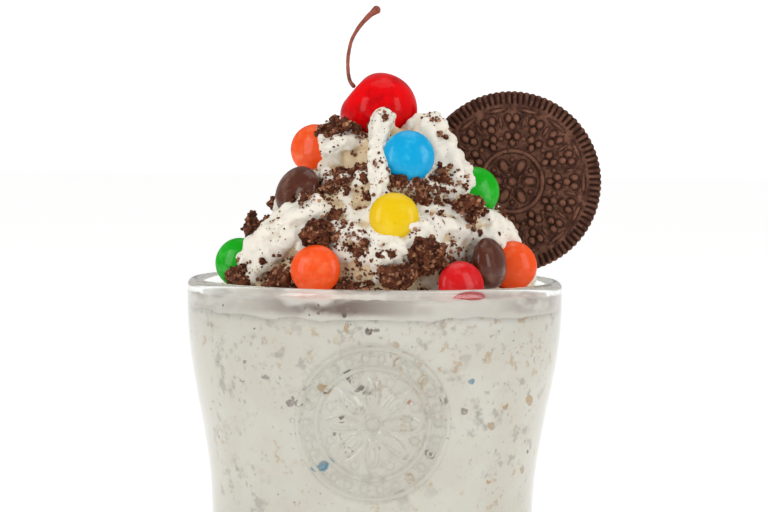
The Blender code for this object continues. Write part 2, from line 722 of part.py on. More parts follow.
def main():
    for old in list(bpy.data.objects):
        bpy.data.objects.remove(old)
    crumb = finish("cookie_crumb", CRUMB_COLOUR, 0.8)
    shells = {name: finish("shell_" + name, colour, 0.22) for name, colour in CANDY_COLOURS.items()}
    make_glass(finish("clear_glass", GLASS_COLOUR, 0.03, transmission=1.0))
    make_drink(finish("shake", DRINK_COLOUR, 0.35))
    seated = [make_candy(name, at, way, size, shells[colour]) for name, colour, at, way, size in CANDIES]
    for i, (name, at, size, kind) in enumerate(CHUNKS):
        seated.append(make_chunk(name, at, size, kind, 500 + i, crumb))
    seated.append(make_cherry(finish("cherry_skin", CHERRY_COLOUR, 0.12)))
    make_stem(finish("stem_bark", STEM_COLOUR, 0.5))
    make_cookie(finish("wafer", WAFER_COLOUR, 0.65), finish("filling", FILLING_COLOUR, 0.55))
    bpy.context.view_layer.update()
    make_cream(finish("cream", CREAM_COLOUR, 0.5), crumb, seated, places_to_avoid())


main()
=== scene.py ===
"""Dresses the solids of a milkshake in its jar glass.

The glass, the flecked drink, the piped cream, the broken cookie with its crumbs, the coated candies, the
cherry and the sandwich cookie are each a class. Sizes and places are in millimetres from the middle of the
rim, +Z up and the dressed front to -Y, and become metres when a mesh is written.
"""

import logging
import math
from dataclasses import dataclass, field
from enum import Enum
from functools import lru_cache

import bpy
import numpy as np
from mathutils import Matrix, Vector


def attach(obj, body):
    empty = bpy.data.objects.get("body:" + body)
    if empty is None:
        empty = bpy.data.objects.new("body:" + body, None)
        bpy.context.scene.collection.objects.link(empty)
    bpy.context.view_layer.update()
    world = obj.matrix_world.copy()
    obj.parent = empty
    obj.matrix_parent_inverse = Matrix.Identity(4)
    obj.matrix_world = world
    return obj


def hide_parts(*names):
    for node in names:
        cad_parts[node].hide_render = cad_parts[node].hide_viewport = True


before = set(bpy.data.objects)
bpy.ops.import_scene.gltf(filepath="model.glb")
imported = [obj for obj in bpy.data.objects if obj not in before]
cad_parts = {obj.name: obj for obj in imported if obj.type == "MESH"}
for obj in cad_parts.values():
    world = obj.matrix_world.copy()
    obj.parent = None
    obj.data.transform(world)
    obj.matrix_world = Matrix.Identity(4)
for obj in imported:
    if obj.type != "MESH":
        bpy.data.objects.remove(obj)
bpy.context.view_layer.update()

Array = np.ndarray
Colour = tuple[int, int, int]
Place = tuple[float, float, float]

MM = 0.001
GLASS_HEIGHT = 125.0
RIM = np.array((0.0, 0.0, GLASS_HEIGHT))
FRONT = -math.pi / 2

log = logging.getLogger("milkshake")


# Noise and easing on whole arrays


def ease(share: Array) -> Array:
    """A share held between 0 and 1 and eased at both ends: 3 s squared less 2 s cubed."""
    held = np.clip(share, 0.0, 1.0)
    return held * held * (3 - 2 * held)


def hashed(cell: Array, seed: int) -> Array:
    """A steady random level from 0 to 1 for each lattice cell, its whole numbers mixed by large odd factors.

    Args:
        cell: Whole numbers, three to a cell.
        seed: Which of many such noises.

    Returns:
        One level to a cell.
    """
    mixed = cell[..., 0] * 73856093 ^ cell[..., 1] * 19349663 ^ cell[..., 2] * 83492791 ^ seed * 265443576
    mixed = (mixed ^ (mixed >> 13)) * 1274126177
    return ((mixed ^ (mixed >> 16)) & 0xFFFFFF) / 0xFFFFFF


def ripple(points: Array, size: float, seed: int) -> Array:
    """Smooth noise from -1 to 1: random levels at the corners of a lattice, blended by eased weights.

    Args:
        points: Places, three numbers each.
        size: Side of a lattice cell.
        seed: Which noise.

    Returns:
        One level to a place.
    """
    place = points / size
    low = np.floor(place).astype(np.int64)
    share = ease(place - low)
    total = np.zeros(points.shape[:-1])
    for corner in np.ndindex(2, 2, 2):
        weight = np.prod(np.where(np.array(corner) == 1, share, 1 - share), axis=-1)
        total += weight * hashed(low + np.array(corner), seed)
    return 2 * total - 1


def rough(points: Array, size: float, octaves: int, seed: int) -> Array:
    """Sum of noises, each half the size and height of the one before.

    Args:
        points: Places, three numbers each.
        size: Lattice size of the first noise.
        octaves: How many noises.
        seed: Which noise comes first.

    Returns:
        One level to a place, about from -1 to 1.
    """
    return sum(0.5**k * ripple(points, size * 0.5**k, seed + k) for k in range(octaves))


def grains(points: Array, size: float, seed: int) -> tuple[Array, Array]:
    """The nearest of many grains, one at a random place in each cell of a lattice that noise has bent.

    Args:
        points: Places, three numbers each.
        size: Side of a lattice cell.
        seed: Which grains.

    Returns:
        The distance to the nearest grain's middle in cell sizes, and that grain's own random level.
    """
    place = points / size + 0.4 * ripple(points, 1.4 * size, seed + 5)[..., None]
    low = np.floor(place).astype(np.int64)
    nearest, own = np.full(points.shape[:-1], 9.0), np.zeros(points.shape[:-1])
    for step in np.ndindex(3, 3, 3):
        cell = low + np.array(step) - 1
        middle = cell + np.stack([hashed(cell, seed + k) for k in range(3)], axis=-1)
        apart = np.linalg.norm(place - middle, axis=-1)
        own = np.where(apart < nearest, hashed(cell, seed + 3), own)
        nearest = np.minimum(nearest, apart)
    return nearest, own


# Skins


def carried(points: Array, place: Matrix) -> Array:
    """Points carried by a matrix."""
    turn = np.array(place)
    return points @ turn[:3, :3].T + turn[:3, 3]


@dataclass
class Shell:
    """A closed skin of triangles, with named levels, one to a point, that its finish reads.

    Attributes:
        points: Places from the rim's middle, one row each.
        triangles: Three point numbers each, turning so that the skin faces out.
        levels: Values by name.
    """

    points: Array
    triangles: Array
    levels: dict[str, Array] = field(default_factory=dict)

    def corners(self) -> Array:
        """The triangles' first, second and third corners."""
        return self.points[self.triangles.T]

    def facing_out(self) -> "Shell":
        """Turns the triangles round if the signed volume, a sixth of the sum of a . (b x c), is negative."""
        a, b, c = self.corners()
        if np.einsum("ij,ij->", a, np.cross(b, c)) < 0:
            self.triangles = self.triangles[:, ::-1]
        return self

    def gathered(self, values: Array, at: Array) -> Array:
        """Sums rows of three values on the points they belong to."""
        columns = [np.bincount(at, weights=values[:, k], minlength=len(self.points)) for k in range(3)]
        return np.stack(columns, axis=-1)

    def flats(self) -> Array:
        """Each triangle's normal, twice as long as its area."""
        a, b, c = self.corners()
        return np.cross(b - a, c - a)

    def normals(self) -> Array:
        """Unit normals at the points: the sum of the triangles' normals round each, weighted by area."""
        total = self.gathered(np.repeat(self.flats(), 3, axis=0), self.triangles.ravel())
        return total / np.maximum(np.linalg.norm(total, axis=1, keepdims=True), 1e-12)

    def relaxed(self, times: int, share: float = 1.0) -> "Shell":
        """The skin with each point drawn towards the mean of its neighbours.

        Args:
            times: How many rounds.
            share: How far towards the mean a round goes.

        Returns:
            A new skin with the same triangles.
        """
        start, end = self.triangles.T.ravel(), np.roll(self.triangles.T, -1, axis=0).ravel()
        count = np.maximum(np.bincount(start, minlength=len(self.points)), 1)[:, None]
        points = self.points
        for _ in range(times):
            points = points + share * (self.gathered(points[end], start) / count - points)
        return Shell(points, self.triangles)

    def pushed(self, push: Array) -> "Shell":
        """The skin with each point pushed out along its normal."""
        return Shell(self.points + self.normals() * push[:, None], self.triangles, self.levels)

    def moved(self, place: Matrix) -> "Shell":
        """The skin carried by a matrix."""
        return Shell(carried(self.points, place), self.triangles, self.levels)

    def mesh(self, name: str) -> bpy.types.Mesh:
        """Writes the skin as a mesh in metres, with its levels as attributes.

        Args:
            name: The mesh's name.

        Returns:
            The mesh, shaded smooth.
        """
        made = bpy.data.meshes.new(name)
        count = len(self.triangles)
        made.vertices.add(len(self.points))
        made.vertices.foreach_set("co", ((self.points + RIM) * MM).astype(np.float32).ravel())
        made.loops.add(3 * count)
        made.loops.foreach_set("vertex_index", self.triangles.astype(np.int32).ravel())
        made.polygons.add(count)
        made.polygons.foreach_set("loop_start", np.arange(0, 3 * count, 3, dtype=np.int32))
        made.update(calc_edges=True)
        made.shade_smooth()
        for title, values in self.levels.items():
            made.attributes.new(title, "FLOAT", "POINT").data.foreach_set("value", values.astype(np.float32))
        return made


def joined(shells: list[Shell]) -> Shell:
    """Several skins as one, with the levels that all of them have."""
    starts = np.cumsum([0] + [len(shell.points) for shell in shells[:-1]])
    triangles = np.concatenate([shell.triangles + start for shell, start in zip(shells, starts)])
    shared = set.intersection(*(set(shell.levels) for shell in shells))
    levels = {name: np.concatenate([shell.levels[name] for shell in shells]) for name in shared}
    return Shell(np.concatenate([shell.points for shell in shells]), triangles, levels)


def shell_of_rings(rings: Array, levels: dict[str, Array] | None = None) -> Shell:
    """A closed skin over rings laid one after another, with a point in the middle of each end ring.

    Args:
        rings: Rows of rings, each with the same count of points.
        levels: Values by name, one to a ring point.

    Returns:
        The skin, facing out.
    """
    count, sides, _ = rings.shape
    ring, side = np.meshgrid(np.arange(count - 1), np.arange(sides), indexing="ij")
    a = ring * sides + side
    b = ring * sides + (side + 1) % sides
    walls = np.stack([a, b, b + sides, a, b + sides, a + sides], axis=-1).reshape(-1, 3)
    around = np.arange(sides)
    after = (around + 1) % sides
    last = (count - 1) * sides
    low = np.stack([np.full(sides, count * sides), after, around], axis=-1)
    high = np.stack([np.full(sides, count * sides + 1), last + around, last + after], axis=-1)
    middles = np.stack([rings[0].mean(axis=0), rings[-1].mean(axis=0)])
    points = np.concatenate([rings.reshape(-1, 3), middles])
    values = {
        name: np.concatenate([level.ravel(), [level[0].mean(), level[-1].mean()]])
        for name, level in (levels or {}).items()
    }
    return Shell(points, np.concatenate([walls, low, high]), values).facing_out()


def turned(profile: Array, angles: Array) -> Array:
    """Rings of a line of (radius, height) turned about Z."""
    return round_z(profile[:, :1], profile[:, 1:], angles)


def round_z(reach: Array, height: Array, angles: Array) -> Array:
    """Places round Z: x and y are the reach times the angle's cosine and sine, z the height.

    Args:
        reach: Reaches from the axis, one row to a ring.
        height: Heights, the same.
        angles: Angles of a ring's points.

    Returns:
        Rows of rings.
    """
    reach, height = reach + 0 * angles, height + 0 * angles
    return np.stack([reach * np.cos(angles), reach * np.sin(angles), height], axis=-1)


def round_circle(count: int) -> Array:
    """Even angles round a circle."""
    return np.linspace(0, 2 * math.pi, count, endpoint=False)


def arc(middle: tuple[float, float], radius: float, start: float, end: float, steps: int) -> Array:
    """Points on a circular arc in the (radius, height) plane, with the angles in degrees."""
    angles = np.radians(np.linspace(start, end, steps))
    return np.stack([middle[0] + radius * np.cos(angles), middle[1] + radius * np.sin(angles)], axis=-1)


def evened(points: Array, step: float) -> Array:
    """Rows about a step apart along a line of rows, by straight interpolation on the length travelled."""
    travelled = np.concatenate([[0], np.cumsum(np.linalg.norm(np.diff(points[:, :3], axis=0), axis=1))])
    wanted = np.linspace(0, travelled[-1], max(8, round(travelled[-1] / step)))
    return np.stack([np.interp(wanted, travelled, column) for column in points.T], axis=-1)


def curved(points: Array, step: float) -> Array:
    """Rows about a step apart on the Catmull-Rom curve through some rows.

    Args:
        points: The rows that the curve passes.
        step: Length between the rows wanted.

    Returns:
        The rows on the curve.
    """
    ends = np.concatenate([[2 * points[0] - points[1]], points, [2 * points[-1] - points[-2]]])
    t = np.linspace(0, 1, 24, endpoint=False)[:, None]
    parts = []
    for a, b, c, d in zip(ends, ends[1:], ends[2:], ends[3:]):
        square, cube = 2 * a - 5 * b + 4 * c - d, 3 * b - a - 3 * c + d
        parts.append(b + 0.5 * ((c - a) * t + square * t**2 + cube * t**3))
    return evened(np.concatenate([*parts, points[-1:]]), step)


@lru_cache
def ball(level: int) -> Shell:
    """A unit sphere of near-even triangles: an icosahedron with its edges halved and pushed out.

    Args:
        level: How often the edges are halved.

    Returns:
        The sphere.
    """
    golden = (1 + math.sqrt(5)) / 2
    flat = np.array([(-1, golden, 0), (1, golden, 0), (-1, -golden, 0), (1, -golden, 0)])
    points = np.concatenate([flat, np.roll(flat, 1, axis=1), np.roll(flat, 2, axis=1)])
    points /= np.linalg.norm(points[0])
    gap = np.linalg.norm(points[:, None] - points[None], axis=-1)
    near = (gap > 0.1) & (gap < 1.06)
    trios = np.array([trio for trio in np.ndindex(12, 12, 12) if trio[0] < trio[1] < trio[2]])
    i, j, k = trios.T
    triangles = trios[near[i, j] & near[j, k] & near[i, k]]
    a, b, c = points[triangles.T]
    inward = np.einsum("ij,ij->i", np.cross(b - a, c - a), a) < 0
    triangles[inward] = triangles[inward][:, ::-1]
    for _ in range(level):
        edges = np.concatenate([triangles[:, [0, 1]], triangles[:, [1, 2]], triangles[:, [2, 0]]])
        unique, back = np.unique(np.sort(edges, axis=1), axis=0, return_inverse=True)
        halves = points[unique].sum(axis=1)
        halves /= np.linalg.norm(halves, axis=1, keepdims=True)
        ab, bc, ca = back.reshape(3, -1) + len(points)
        a, b, c = triangles.T
        split = [(a, ab, ca), (b, bc, ab), (c, ca, bc), (ab, bc, ca)]
        triangles = np.concatenate([np.stack(trio, axis=-1) for trio in split])
        points = np.concatenate([points, halves])
    return Shell(points, triangles)


def facing(direction: Array) -> Matrix:
    """The turn that takes +Z to a direction."""
    return Vector(direction).to_track_quat("Z", "Y").to_matrix().to_4x4()


def show(
    name: str,
    shell: Shell,
    finish: bpy.types.Material,
    stands_for: tuple[str, ...] = (),
    sharp: float | None = None,
) -> bpy.types.Object:
    """Puts a skin into the scene as a piece of the object.

    Args:
        name: The piece's name.
        shell: Its skin.
        finish: Its material.
        stands_for: The solids that it replaces.
        sharp: The angle in degrees past which an edge is shaded sharp, or None.

    Returns:
        The piece.
    """
    mesh = shell.mesh(name)
    if sharp is not None:
        mesh.set_sharp_from_angle(angle=math.radians(sharp))
    mesh.materials.append(finish)
    piece = bpy.data.objects.new(name, mesh)
    bpy.context.scene.collection.objects.link(piece)
    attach(piece, "root")
    if stands_for:
        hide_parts(*stands_for)
    log.info("%s: %d triangles", name, len(shell.triangles))
    return piece


# Finishes


def on_screen(colour: Colour) -> tuple[float, float, float, float]:
    """A screen colour, 0 to 255, as linear levels with full cover."""
    shares = [level / 255 for level in colour]
    return (*(s / 12.92 if s <= 0.04045 else ((s + 0.055) / 1.055) ** 2.4 for s in shares), 1.0)


Socket = bpy.types.NodeSocket
Value = Socket | float | tuple


class Board:
    """The node board of one material, round its Principled shader."""

    def __init__(
        self, name: str, colour: Colour, roughness: float, sockets: dict[str, Value] | None = None
    ) -> None:
        """Starts a board with plain values on the shader's own sockets.

        Args:
            name: The material's name.
            colour: Its screen colour.
            roughness: Its roughness.
            sockets: Further values by socket name.
        """
        self.material = bpy.data.materials.new(name)
        self.material.use_nodes = True
        self.tree = self.material.node_tree
        self.shader = self.tree.nodes["Principled BSDF"]
        plain = {"Base Color": on_screen(colour), "Roughness": roughness, **(sockets or {})}
        for socket, value in plain.items():
            self.shader.inputs[socket].default_value = value
        self.material.diffuse_color = on_screen(colour)
        self.place = self.tree.nodes.new("ShaderNodeTexCoord").outputs["Object"]

    def put(self, socket: Socket, value: Value) -> None:
        """Links a socket to another, or sets it."""
        if isinstance(value, Socket):
            self.tree.links.new(value, socket)
        else:
            socket.default_value = value

    def node(self, kind: str, inputs: dict[str | int, Value], **settings: str | bool) -> bpy.types.Node:
        """Adds a node.

        Args:
            kind: Its type, without the common start of the name.
            inputs: Its inputs by name or number.
            settings: Its own settings.

        Returns:
            The node.
        """
        made = self.tree.nodes.new("ShaderNode" + kind)
        for setting, value in settings.items():
            setattr(made, setting, value)
        for socket, value in inputs.items():
            self.put(made.inputs[socket], value)
        return made

    def noise(self, size: float, detail: float = 3.0, roughness: float = 0.55, seed: float = 0.0) -> Socket:
        """Noise from 0 to 1 with lumps of a size."""
        inputs = {"Vector": self.place, "Scale": 1 / (size * MM), "Detail": detail, "Roughness": roughness}
        return self.node("TexNoise", inputs | {"W": seed}, noise_dimensions="4D").outputs[0]

    def warped(self, size: float, reach: float) -> Socket:
        """The place, pushed about by a coloured noise of a size by up to about a reach."""
        noise = {"Vector": self.place, "Scale": 1 / (size * MM), "Detail": 2.0}
        shift = self.node("TexNoise", noise).outputs[1]
        centred = self.node("VectorMath", {0: shift, 1: (0.5, 0.5, 0.5)}, operation="SUBTRACT").outputs[0]
        pushed = {0: centred, 1: (2 * reach * MM,) * 3, 2: self.place}
        return self.node("VectorMath", pushed, operation="MULTIPLY_ADD").outputs[0]

    def sum_of(self, first: Value, second: Value, operation: str = "ADD") -> Socket:
        """Two levels added, or put together by another operation."""
        return self.node("Math", {0: first, 1: second}, operation=operation).outputs[0]

    def eased(self, level: Socket, low: float, high: float) -> Socket:
        """A level eased from 0 at low to 1 at high. Low may be the greater."""
        turned_round = low > high
        inputs = {"Value": level, "From Min": min(low, high), "From Max": max(low, high)}
        inputs |= {"To Min": float(turned_round), "To Max": float(not turned_round)}
        return self.node("MapRange", inputs, interpolation_type="SMOOTHSTEP").outputs[0]

    def mixed(self, share: Value, first: Value, second: Value) -> Socket:
        """Two colours, mixed by a share of the second."""
        first, second = (on_screen(c) if isinstance(c, tuple) else c for c in (first, second))
        return self.node("Mix", {0: share, 6: first, 7: second}, data_type="RGBA").outputs[2]

    def blended(self, first: Value, second: Value, level: Socket, low: float, high: float) -> Socket:
        """Two colours, from the first where a level is low to the second where it is high."""
        return self.mixed(self.eased(level, low, high), first, second)

    def tinted(self, tone: Value, colour: Value, cover: Socket, share: float) -> Socket:
        """A colour with a share of another in it, as far as a cover reaches."""
        return self.mixed(self.sum_of(cover, share, "MULTIPLY"), tone, colour)

    def height(self) -> Socket:
        """The height over the base, in metres."""
        return self.node("SeparateXYZ", {0: self.place}).outputs[2]

    def dots(self, size: float, share: float, reach: float, edge: float, seed: float = 0.0) -> Socket:
        """Ragged dots, one in the middle of some cells of a lattice: 1 inside, eased to 0 past their reach.

        Args:
            size: Size of a cell.
            share: Share of the cells that hold a dot.
            reach: Radius of a dot, in cell sizes.
            edge: Width over which its edge fades, in cell sizes.
            seed: Shift of the lattice, so that layers differ.

        Returns:
            The cover.
        """
        bent = self.warped(0.5 * size, 0.22 * size)
        shifted = self.node("VectorMath", {0: bent, 1: (seed, seed, seed)}).outputs[0]
        cells = self.node("TexVoronoi", {"Vector": shifted, "Scale": 1 / (size * MM)})
        chosen = self.node("SeparateColor", {0: cells.outputs["Color"]}).outputs[0]
        near = self.eased(cells.outputs["Distance"], reach + edge, reach)
        return self.sum_of(near, self.sum_of(chosen, share, "LESS_THAN"), "MULTIPLY")

    def level(self, name: str) -> Socket:
        """A level that the skin carries."""
        return self.node("Attribute", {}, attribute_name=name).outputs["Fac"]

    def bumped(self, height: Socket, depth: float, strength: float = 1.0) -> None:
        """Roughens the shader's normal by a height of a depth."""
        made = self.node("Bump", {"Strength": strength, "Distance": depth * MM, "Height": height})
        self.put(self.shader.inputs["Normal"], made.outputs[0])

    def coloured(self, colour: Socket) -> bpy.types.Material:
        """Gives the shader its colour and hands the material over."""
        self.put(self.shader.inputs["Base Color"], colour)
        return self.material


@dataclass(frozen=True)
class ClearGlass:
    """Polished clear glass with the faint waves of pressed ware, with painted shade that greys it where its
    relief is steep.
    """

    colour: Colour = (250, 252, 250)
    painted_edge_shade: Colour = (236, 237, 235)
    refraction: float = 1.48

    def material(self) -> bpy.types.Material:
        """The material."""
        sockets = {"Transmission Weight": 1.0, "IOR": self.refraction}
        board = Board("clear_glass_finish", self.colour, 0.0, sockets)
        smear = board.eased(board.noise(9.0, 4.0), 0.5, 0.8)
        board.put(board.shader.inputs["Roughness"], board.sum_of(smear, 0.035, "MULTIPLY"))
        board.bumped(board.noise(14.0, 1.0), 0.05, 0.5)
        # Painted shade: the grey colour along the steep edges of the medallion's relief.
        return board.coloured(board.mixed(board.level("steep"), self.colour, self.painted_edge_shade))


@dataclass(frozen=True)
class ThickShake:
    """Thick off-white drink, with cookie flecks that lie under its face and grey or tan where they melt."""

    colour: Colour = (243, 237, 224)
    pale: Colour = (250, 246, 237)
    grey: Colour = (158, 146, 136)
    dark: Colour = (88, 72, 62)
    tan: Colour = (206, 170, 116)

    def material(self) -> bpy.types.Material:
        """The material."""
        board = Board("thick_shake_finish", self.colour, 0.45, {"Specular IOR Level": 0.3})
        tone = board.blended(self.colour, self.pale, board.noise(16.0, 4.0, 0.6), 0.35, 0.7)
        # Each layer's patch size and start, its blots' size, start and end, its cover and its colour
        layers = (
            (26.0, 0.42, 3.6, 0.53, 0.66, 0.5, self.grey),
            (18.0, 0.44, 2.2, 0.58, 0.68, 0.5, self.grey),
            (20.0, 0.46, 2.8, 0.57, 0.66, 0.6, self.tan),
            (15.0, 0.46, 1.3, 0.63, 0.68, 0.55, self.dark),
        )
        height = board.eased(board.height(), -0.02, 0.1)
        for i, (patch, start, size, low, high, cover, colour) in enumerate(layers):
            where = board.eased(board.noise(patch, 2.0, seed=3.7 * i), start, start + 0.14)
            where = board.sum_of(where, height, "MULTIPLY")
            blots = board.eased(board.noise(size, 4.0, 0.6, seed=5.3 * i + 1.1), low, high)
            tone = board.tinted(tone, colour, board.sum_of(where, blots, "MULTIPLY"), cover)
        board.bumped(board.noise(1.2, 3.0), 0.05, 0.4)
        return board.coloured(tone)


@dataclass(frozen=True)
class PipedCream:
    """Soft whipped cream, with painted shade, warm and yellower, down in its folds and the same yellow in
    random patches, and painted light that makes it paler where it lies against the glass.
    """

    colour: Colour = (228, 222, 209)
    # foot: painted light, a paler colour on the cream low down behind the glass
    foot: Colour = (250, 244, 235)
    # fold: painted shade in the folds, and also the colour of random yellower patches
    fold: Colour = (214, 188, 146)
    soaked: Colour = (128, 104, 92)

    def material(self) -> bpy.types.Material:
        """The material."""
        sockets = {"Subsurface Weight": 0.18, "Subsurface Radius": (1.0, 0.75, 0.5)}
        sockets |= {"Subsurface Scale": 1.2 * MM, "Specular IOR Level": 0.3}
        board = Board("piped_cream_finish", self.colour, 0.45, sockets)
        # Painted shade: the fold colour down in the folds, by the fold level.
        tone = board.tinted(self.colour, self.fold, board.eased(board.level("fold"), 0.0, 0.6), 0.85)
        # Random yellower patches in the same colour.
        tone = board.tinted(tone, self.fold, board.eased(board.noise(7.0), 0.55, 0.8), 0.3)
        # Painted light: the paler foot colour on the cream more than 3 mm under the rim, behind the glass.
        under = ((GLASS_HEIGHT - 0.5) * MM, (GLASS_HEIGHT - 3.0) * MM)
        tone = board.blended(tone, self.foot, board.height(), *under)
        tone = board.mixed(board.level("soak"), tone, self.soaked)
        board.bumped(board.noise(0.6, 4.0, 0.6), 0.05, 0.5)
        return board.coloured(tone)


@dataclass(frozen=True)
class BakedCookie:
    """Dark baked cookie: mottled, finely grained and specked, with its level mixed in as painted light: a
    painted highlight on the wafer's raised relief and painted shade in its grooves and flute notches.

    Attributes:
        name: The material's name.
        colour: Its main colour.
        deep: Its darker mottle and specks, and the painted shade where the level falls low.
        pale: Its pale specks, its paler crumbs, and the painted highlight on the wafer's raised relief.
        grain: Depth of the fine grain.
        level: The skin's level that goes from deep to pale.
    """

    name: str
    colour: Colour
    deep: Colour
    pale: Colour
    grain: float = 0.05
    level: str = "shade"

    def material(self) -> bpy.types.Material:
        """The material."""
        board = Board(self.name, self.colour, 0.75, {"Specular IOR Level": 0.12})
        tone = board.blended(self.deep, self.colour, board.noise(2.2, 5.0, 0.65), 0.35, 0.7)
        # Painted highlight: the pale colour where the level is high, on the wafer's raised relief; on crumbs
        # the level is mostly their own tone.
        tone = board.blended(tone, self.pale, board.level(self.level), 0.3, 1.1)
        # Painted shade: the deep colour where the level falls under nought, in the wafer's grooves and flute
        # notches.
        tone = board.blended(tone, self.deep, board.level(self.level), 0.05, -0.3)
        tone = board.tinted(tone, self.pale, board.dots(0.9, 0.16, 0.16, 0.2), 0.55)
        tone = board.mixed(board.dots(1.4, 0.2, 0.12, 0.2, 2.2), tone, self.deep)
        board.bumped(board.noise(0.35, 4.0, 0.7), self.grain)
        return board.coloured(tone)


@dataclass(frozen=True)
class SugarShell:
    """Satin sugar shell, faintly mottled and scuffed."""

    name: str
    colour: Colour
    gloss: float

    def material(self) -> bpy.types.Material:
        """The material."""
        pale = tuple(round(level + 0.24 * (255 - level)) for level in self.colour)
        deep = tuple(round(0.86 * level) for level in self.colour)
        sockets = {"Coat Weight": self.gloss, "Coat Roughness": 0.08, "Specular IOR Level": 0.08}
        board = Board(self.name, self.colour, 0.38, sockets)
        tone = board.blended(self.colour, pale, board.noise(3.4, 3.0), 0.45, 0.8)
        tone = board.tinted(tone, deep, board.eased(board.noise(1.1, 3.0), 0.55, 0.8), 0.5)
        tone = board.tinted(tone, pale, board.dots(0.8, 0.14, 0.1, 0.16), 0.35)
        board.bumped(board.noise(1.3, 3.0), 0.03, 0.5)
        return board.coloured(tone)


@dataclass(frozen=True)
class SyrupCherry:
    """Wet candied cherry, with painted shade where its skin folds down into the dimple round the stem."""

    colour: Colour = (226, 3, 9)
    # deep: its darker mottle, and the painted shade in the dimple
    deep: Colour = (168, 0, 8)

    def material(self) -> bpy.types.Material:
        """The material."""
        sockets = {"Subsurface Weight": 0.2, "Subsurface Radius": (1.0, 0.1, 0.06)}
        sockets |= {"Subsurface Scale": 2.0 * MM, "Specular IOR Level": 0.02}
        sockets |= {"Coat Weight": 0.16, "Coat Roughness": 0.04}
        board = Board("syrup_cherry_finish", self.colour, 0.28, sockets)
        tone = board.blended(self.colour, self.deep, board.noise(6.0, 4.0, 0.6), 0.4, 0.75)
        # Painted shade: the deep colour in the dimple round the stem.
        tone = board.tinted(tone, self.deep, board.level("dimple"), 0.7)
        board.bumped(board.noise(2.6, 3.0), 0.05, 0.4)
        return board.coloured(tone)


@dataclass(frozen=True)
class PlainFood:
    """A plain food surface of two mottled colours."""

    name: str
    colour: Colour
    second: Colour
    roughness: float
    lumps: float

    def material(self) -> bpy.types.Material:
        """The material."""
        board = Board(self.name, self.colour, self.roughness)
        tone = board.blended(self.colour, self.second, board.noise(self.lumps, 4.0, 0.6), 0.35, 0.7)
        board.bumped(board.noise(0.3 * self.lumps, 3.0), 0.05, 0.5)
        return board.coloured(tone)


@dataclass(frozen=True)
class FleckColours:
    """The flecks' own colours, chosen by the level that each fleck carries."""

    stops: tuple[tuple[float, Colour], ...] = (
        (0.0, (118, 100, 92)),
        (0.4, (166, 155, 148)),
        (0.68, (214, 178, 122)),
        (0.86, (92, 166, 204)),
        (0.95, (224, 146, 122)),
    )
    milky: Colour = (208, 198, 186)

    def material(self) -> bpy.types.Material:
        """The material."""
        tone: Value = self.stops[0][1]
        board = Board("fleck_finish", tone, 0.6)
        for start, colour in self.stops[1:]:
            tone = board.mixed(board.sum_of(board.level("kind"), start, "GREATER_THAN"), tone, colour)
        return board.coloured(board.blended(tone, self.milky, board.noise(0.9), 0.4, 0.7))


# Low relief shared by the glass and the cookie


def pressed(share: Array, height: float) -> Array:
    """A motif's section: eased up to its height within its edge, with a groove round a raised one.

    Args:
        share: 0 in the motif's middle and 1 at its edge.
        height: Its height, under zero for hollows.

    Returns:
        Heights.
    """
    groove = 0.4 * max(height, 0.0) * np.exp(-(((share - 1.16) / 0.14) ** 2))
    return height * ease(2.2 * (1 - share)) - groove


@dataclass(frozen=True)
class Ring:
    """A raised line round a middle: its height eased off to nothing at half its width."""

    middle: float
    half: float
    height: float

    def level(self, reach: Array, angle: Array) -> Array:
        """Height at a reach from the middle and an angle round it."""
        return pressed(np.abs(reach - self.middle) / self.half, self.height) + 0 * angle


@dataclass(frozen=True)
class Wreath:
    """Ovals set evenly round a middle, each a dome over its own ellipse.

    Attributes:
        count: How many ovals.
        middle: Their distance from the middle.
        half: Half their length, along the radius.
        width: Half their width.
        height: Their height, under zero for hollows.
        shift: Turn of the wreath, as a share of one step.
    """

    count: int
    middle: float
    half: float
    width: float
    height: float
    shift: float = 0.0

    def level(self, reach: Array, angle: Array) -> Array:
        """Height at a reach from the middle and an angle round it."""
        step = 2 * math.pi / self.count
        turn = angle - self.shift * step
        turn = turn - step * np.round(turn / step)
        along = (reach * np.cos(turn) - self.middle) / self.half
        across = reach * np.sin(turn) / self.width
        return pressed(np.hypot(along, across), self.height)


Relief = tuple[Ring | Wreath, ...]


def relief_level(relief: Relief, reach: Array, angle: Array) -> Array:
    """The sum of a relief's heights at some places round its middle."""
    return sum(motif.level(reach, angle) for motif in relief)


# Glass and drink


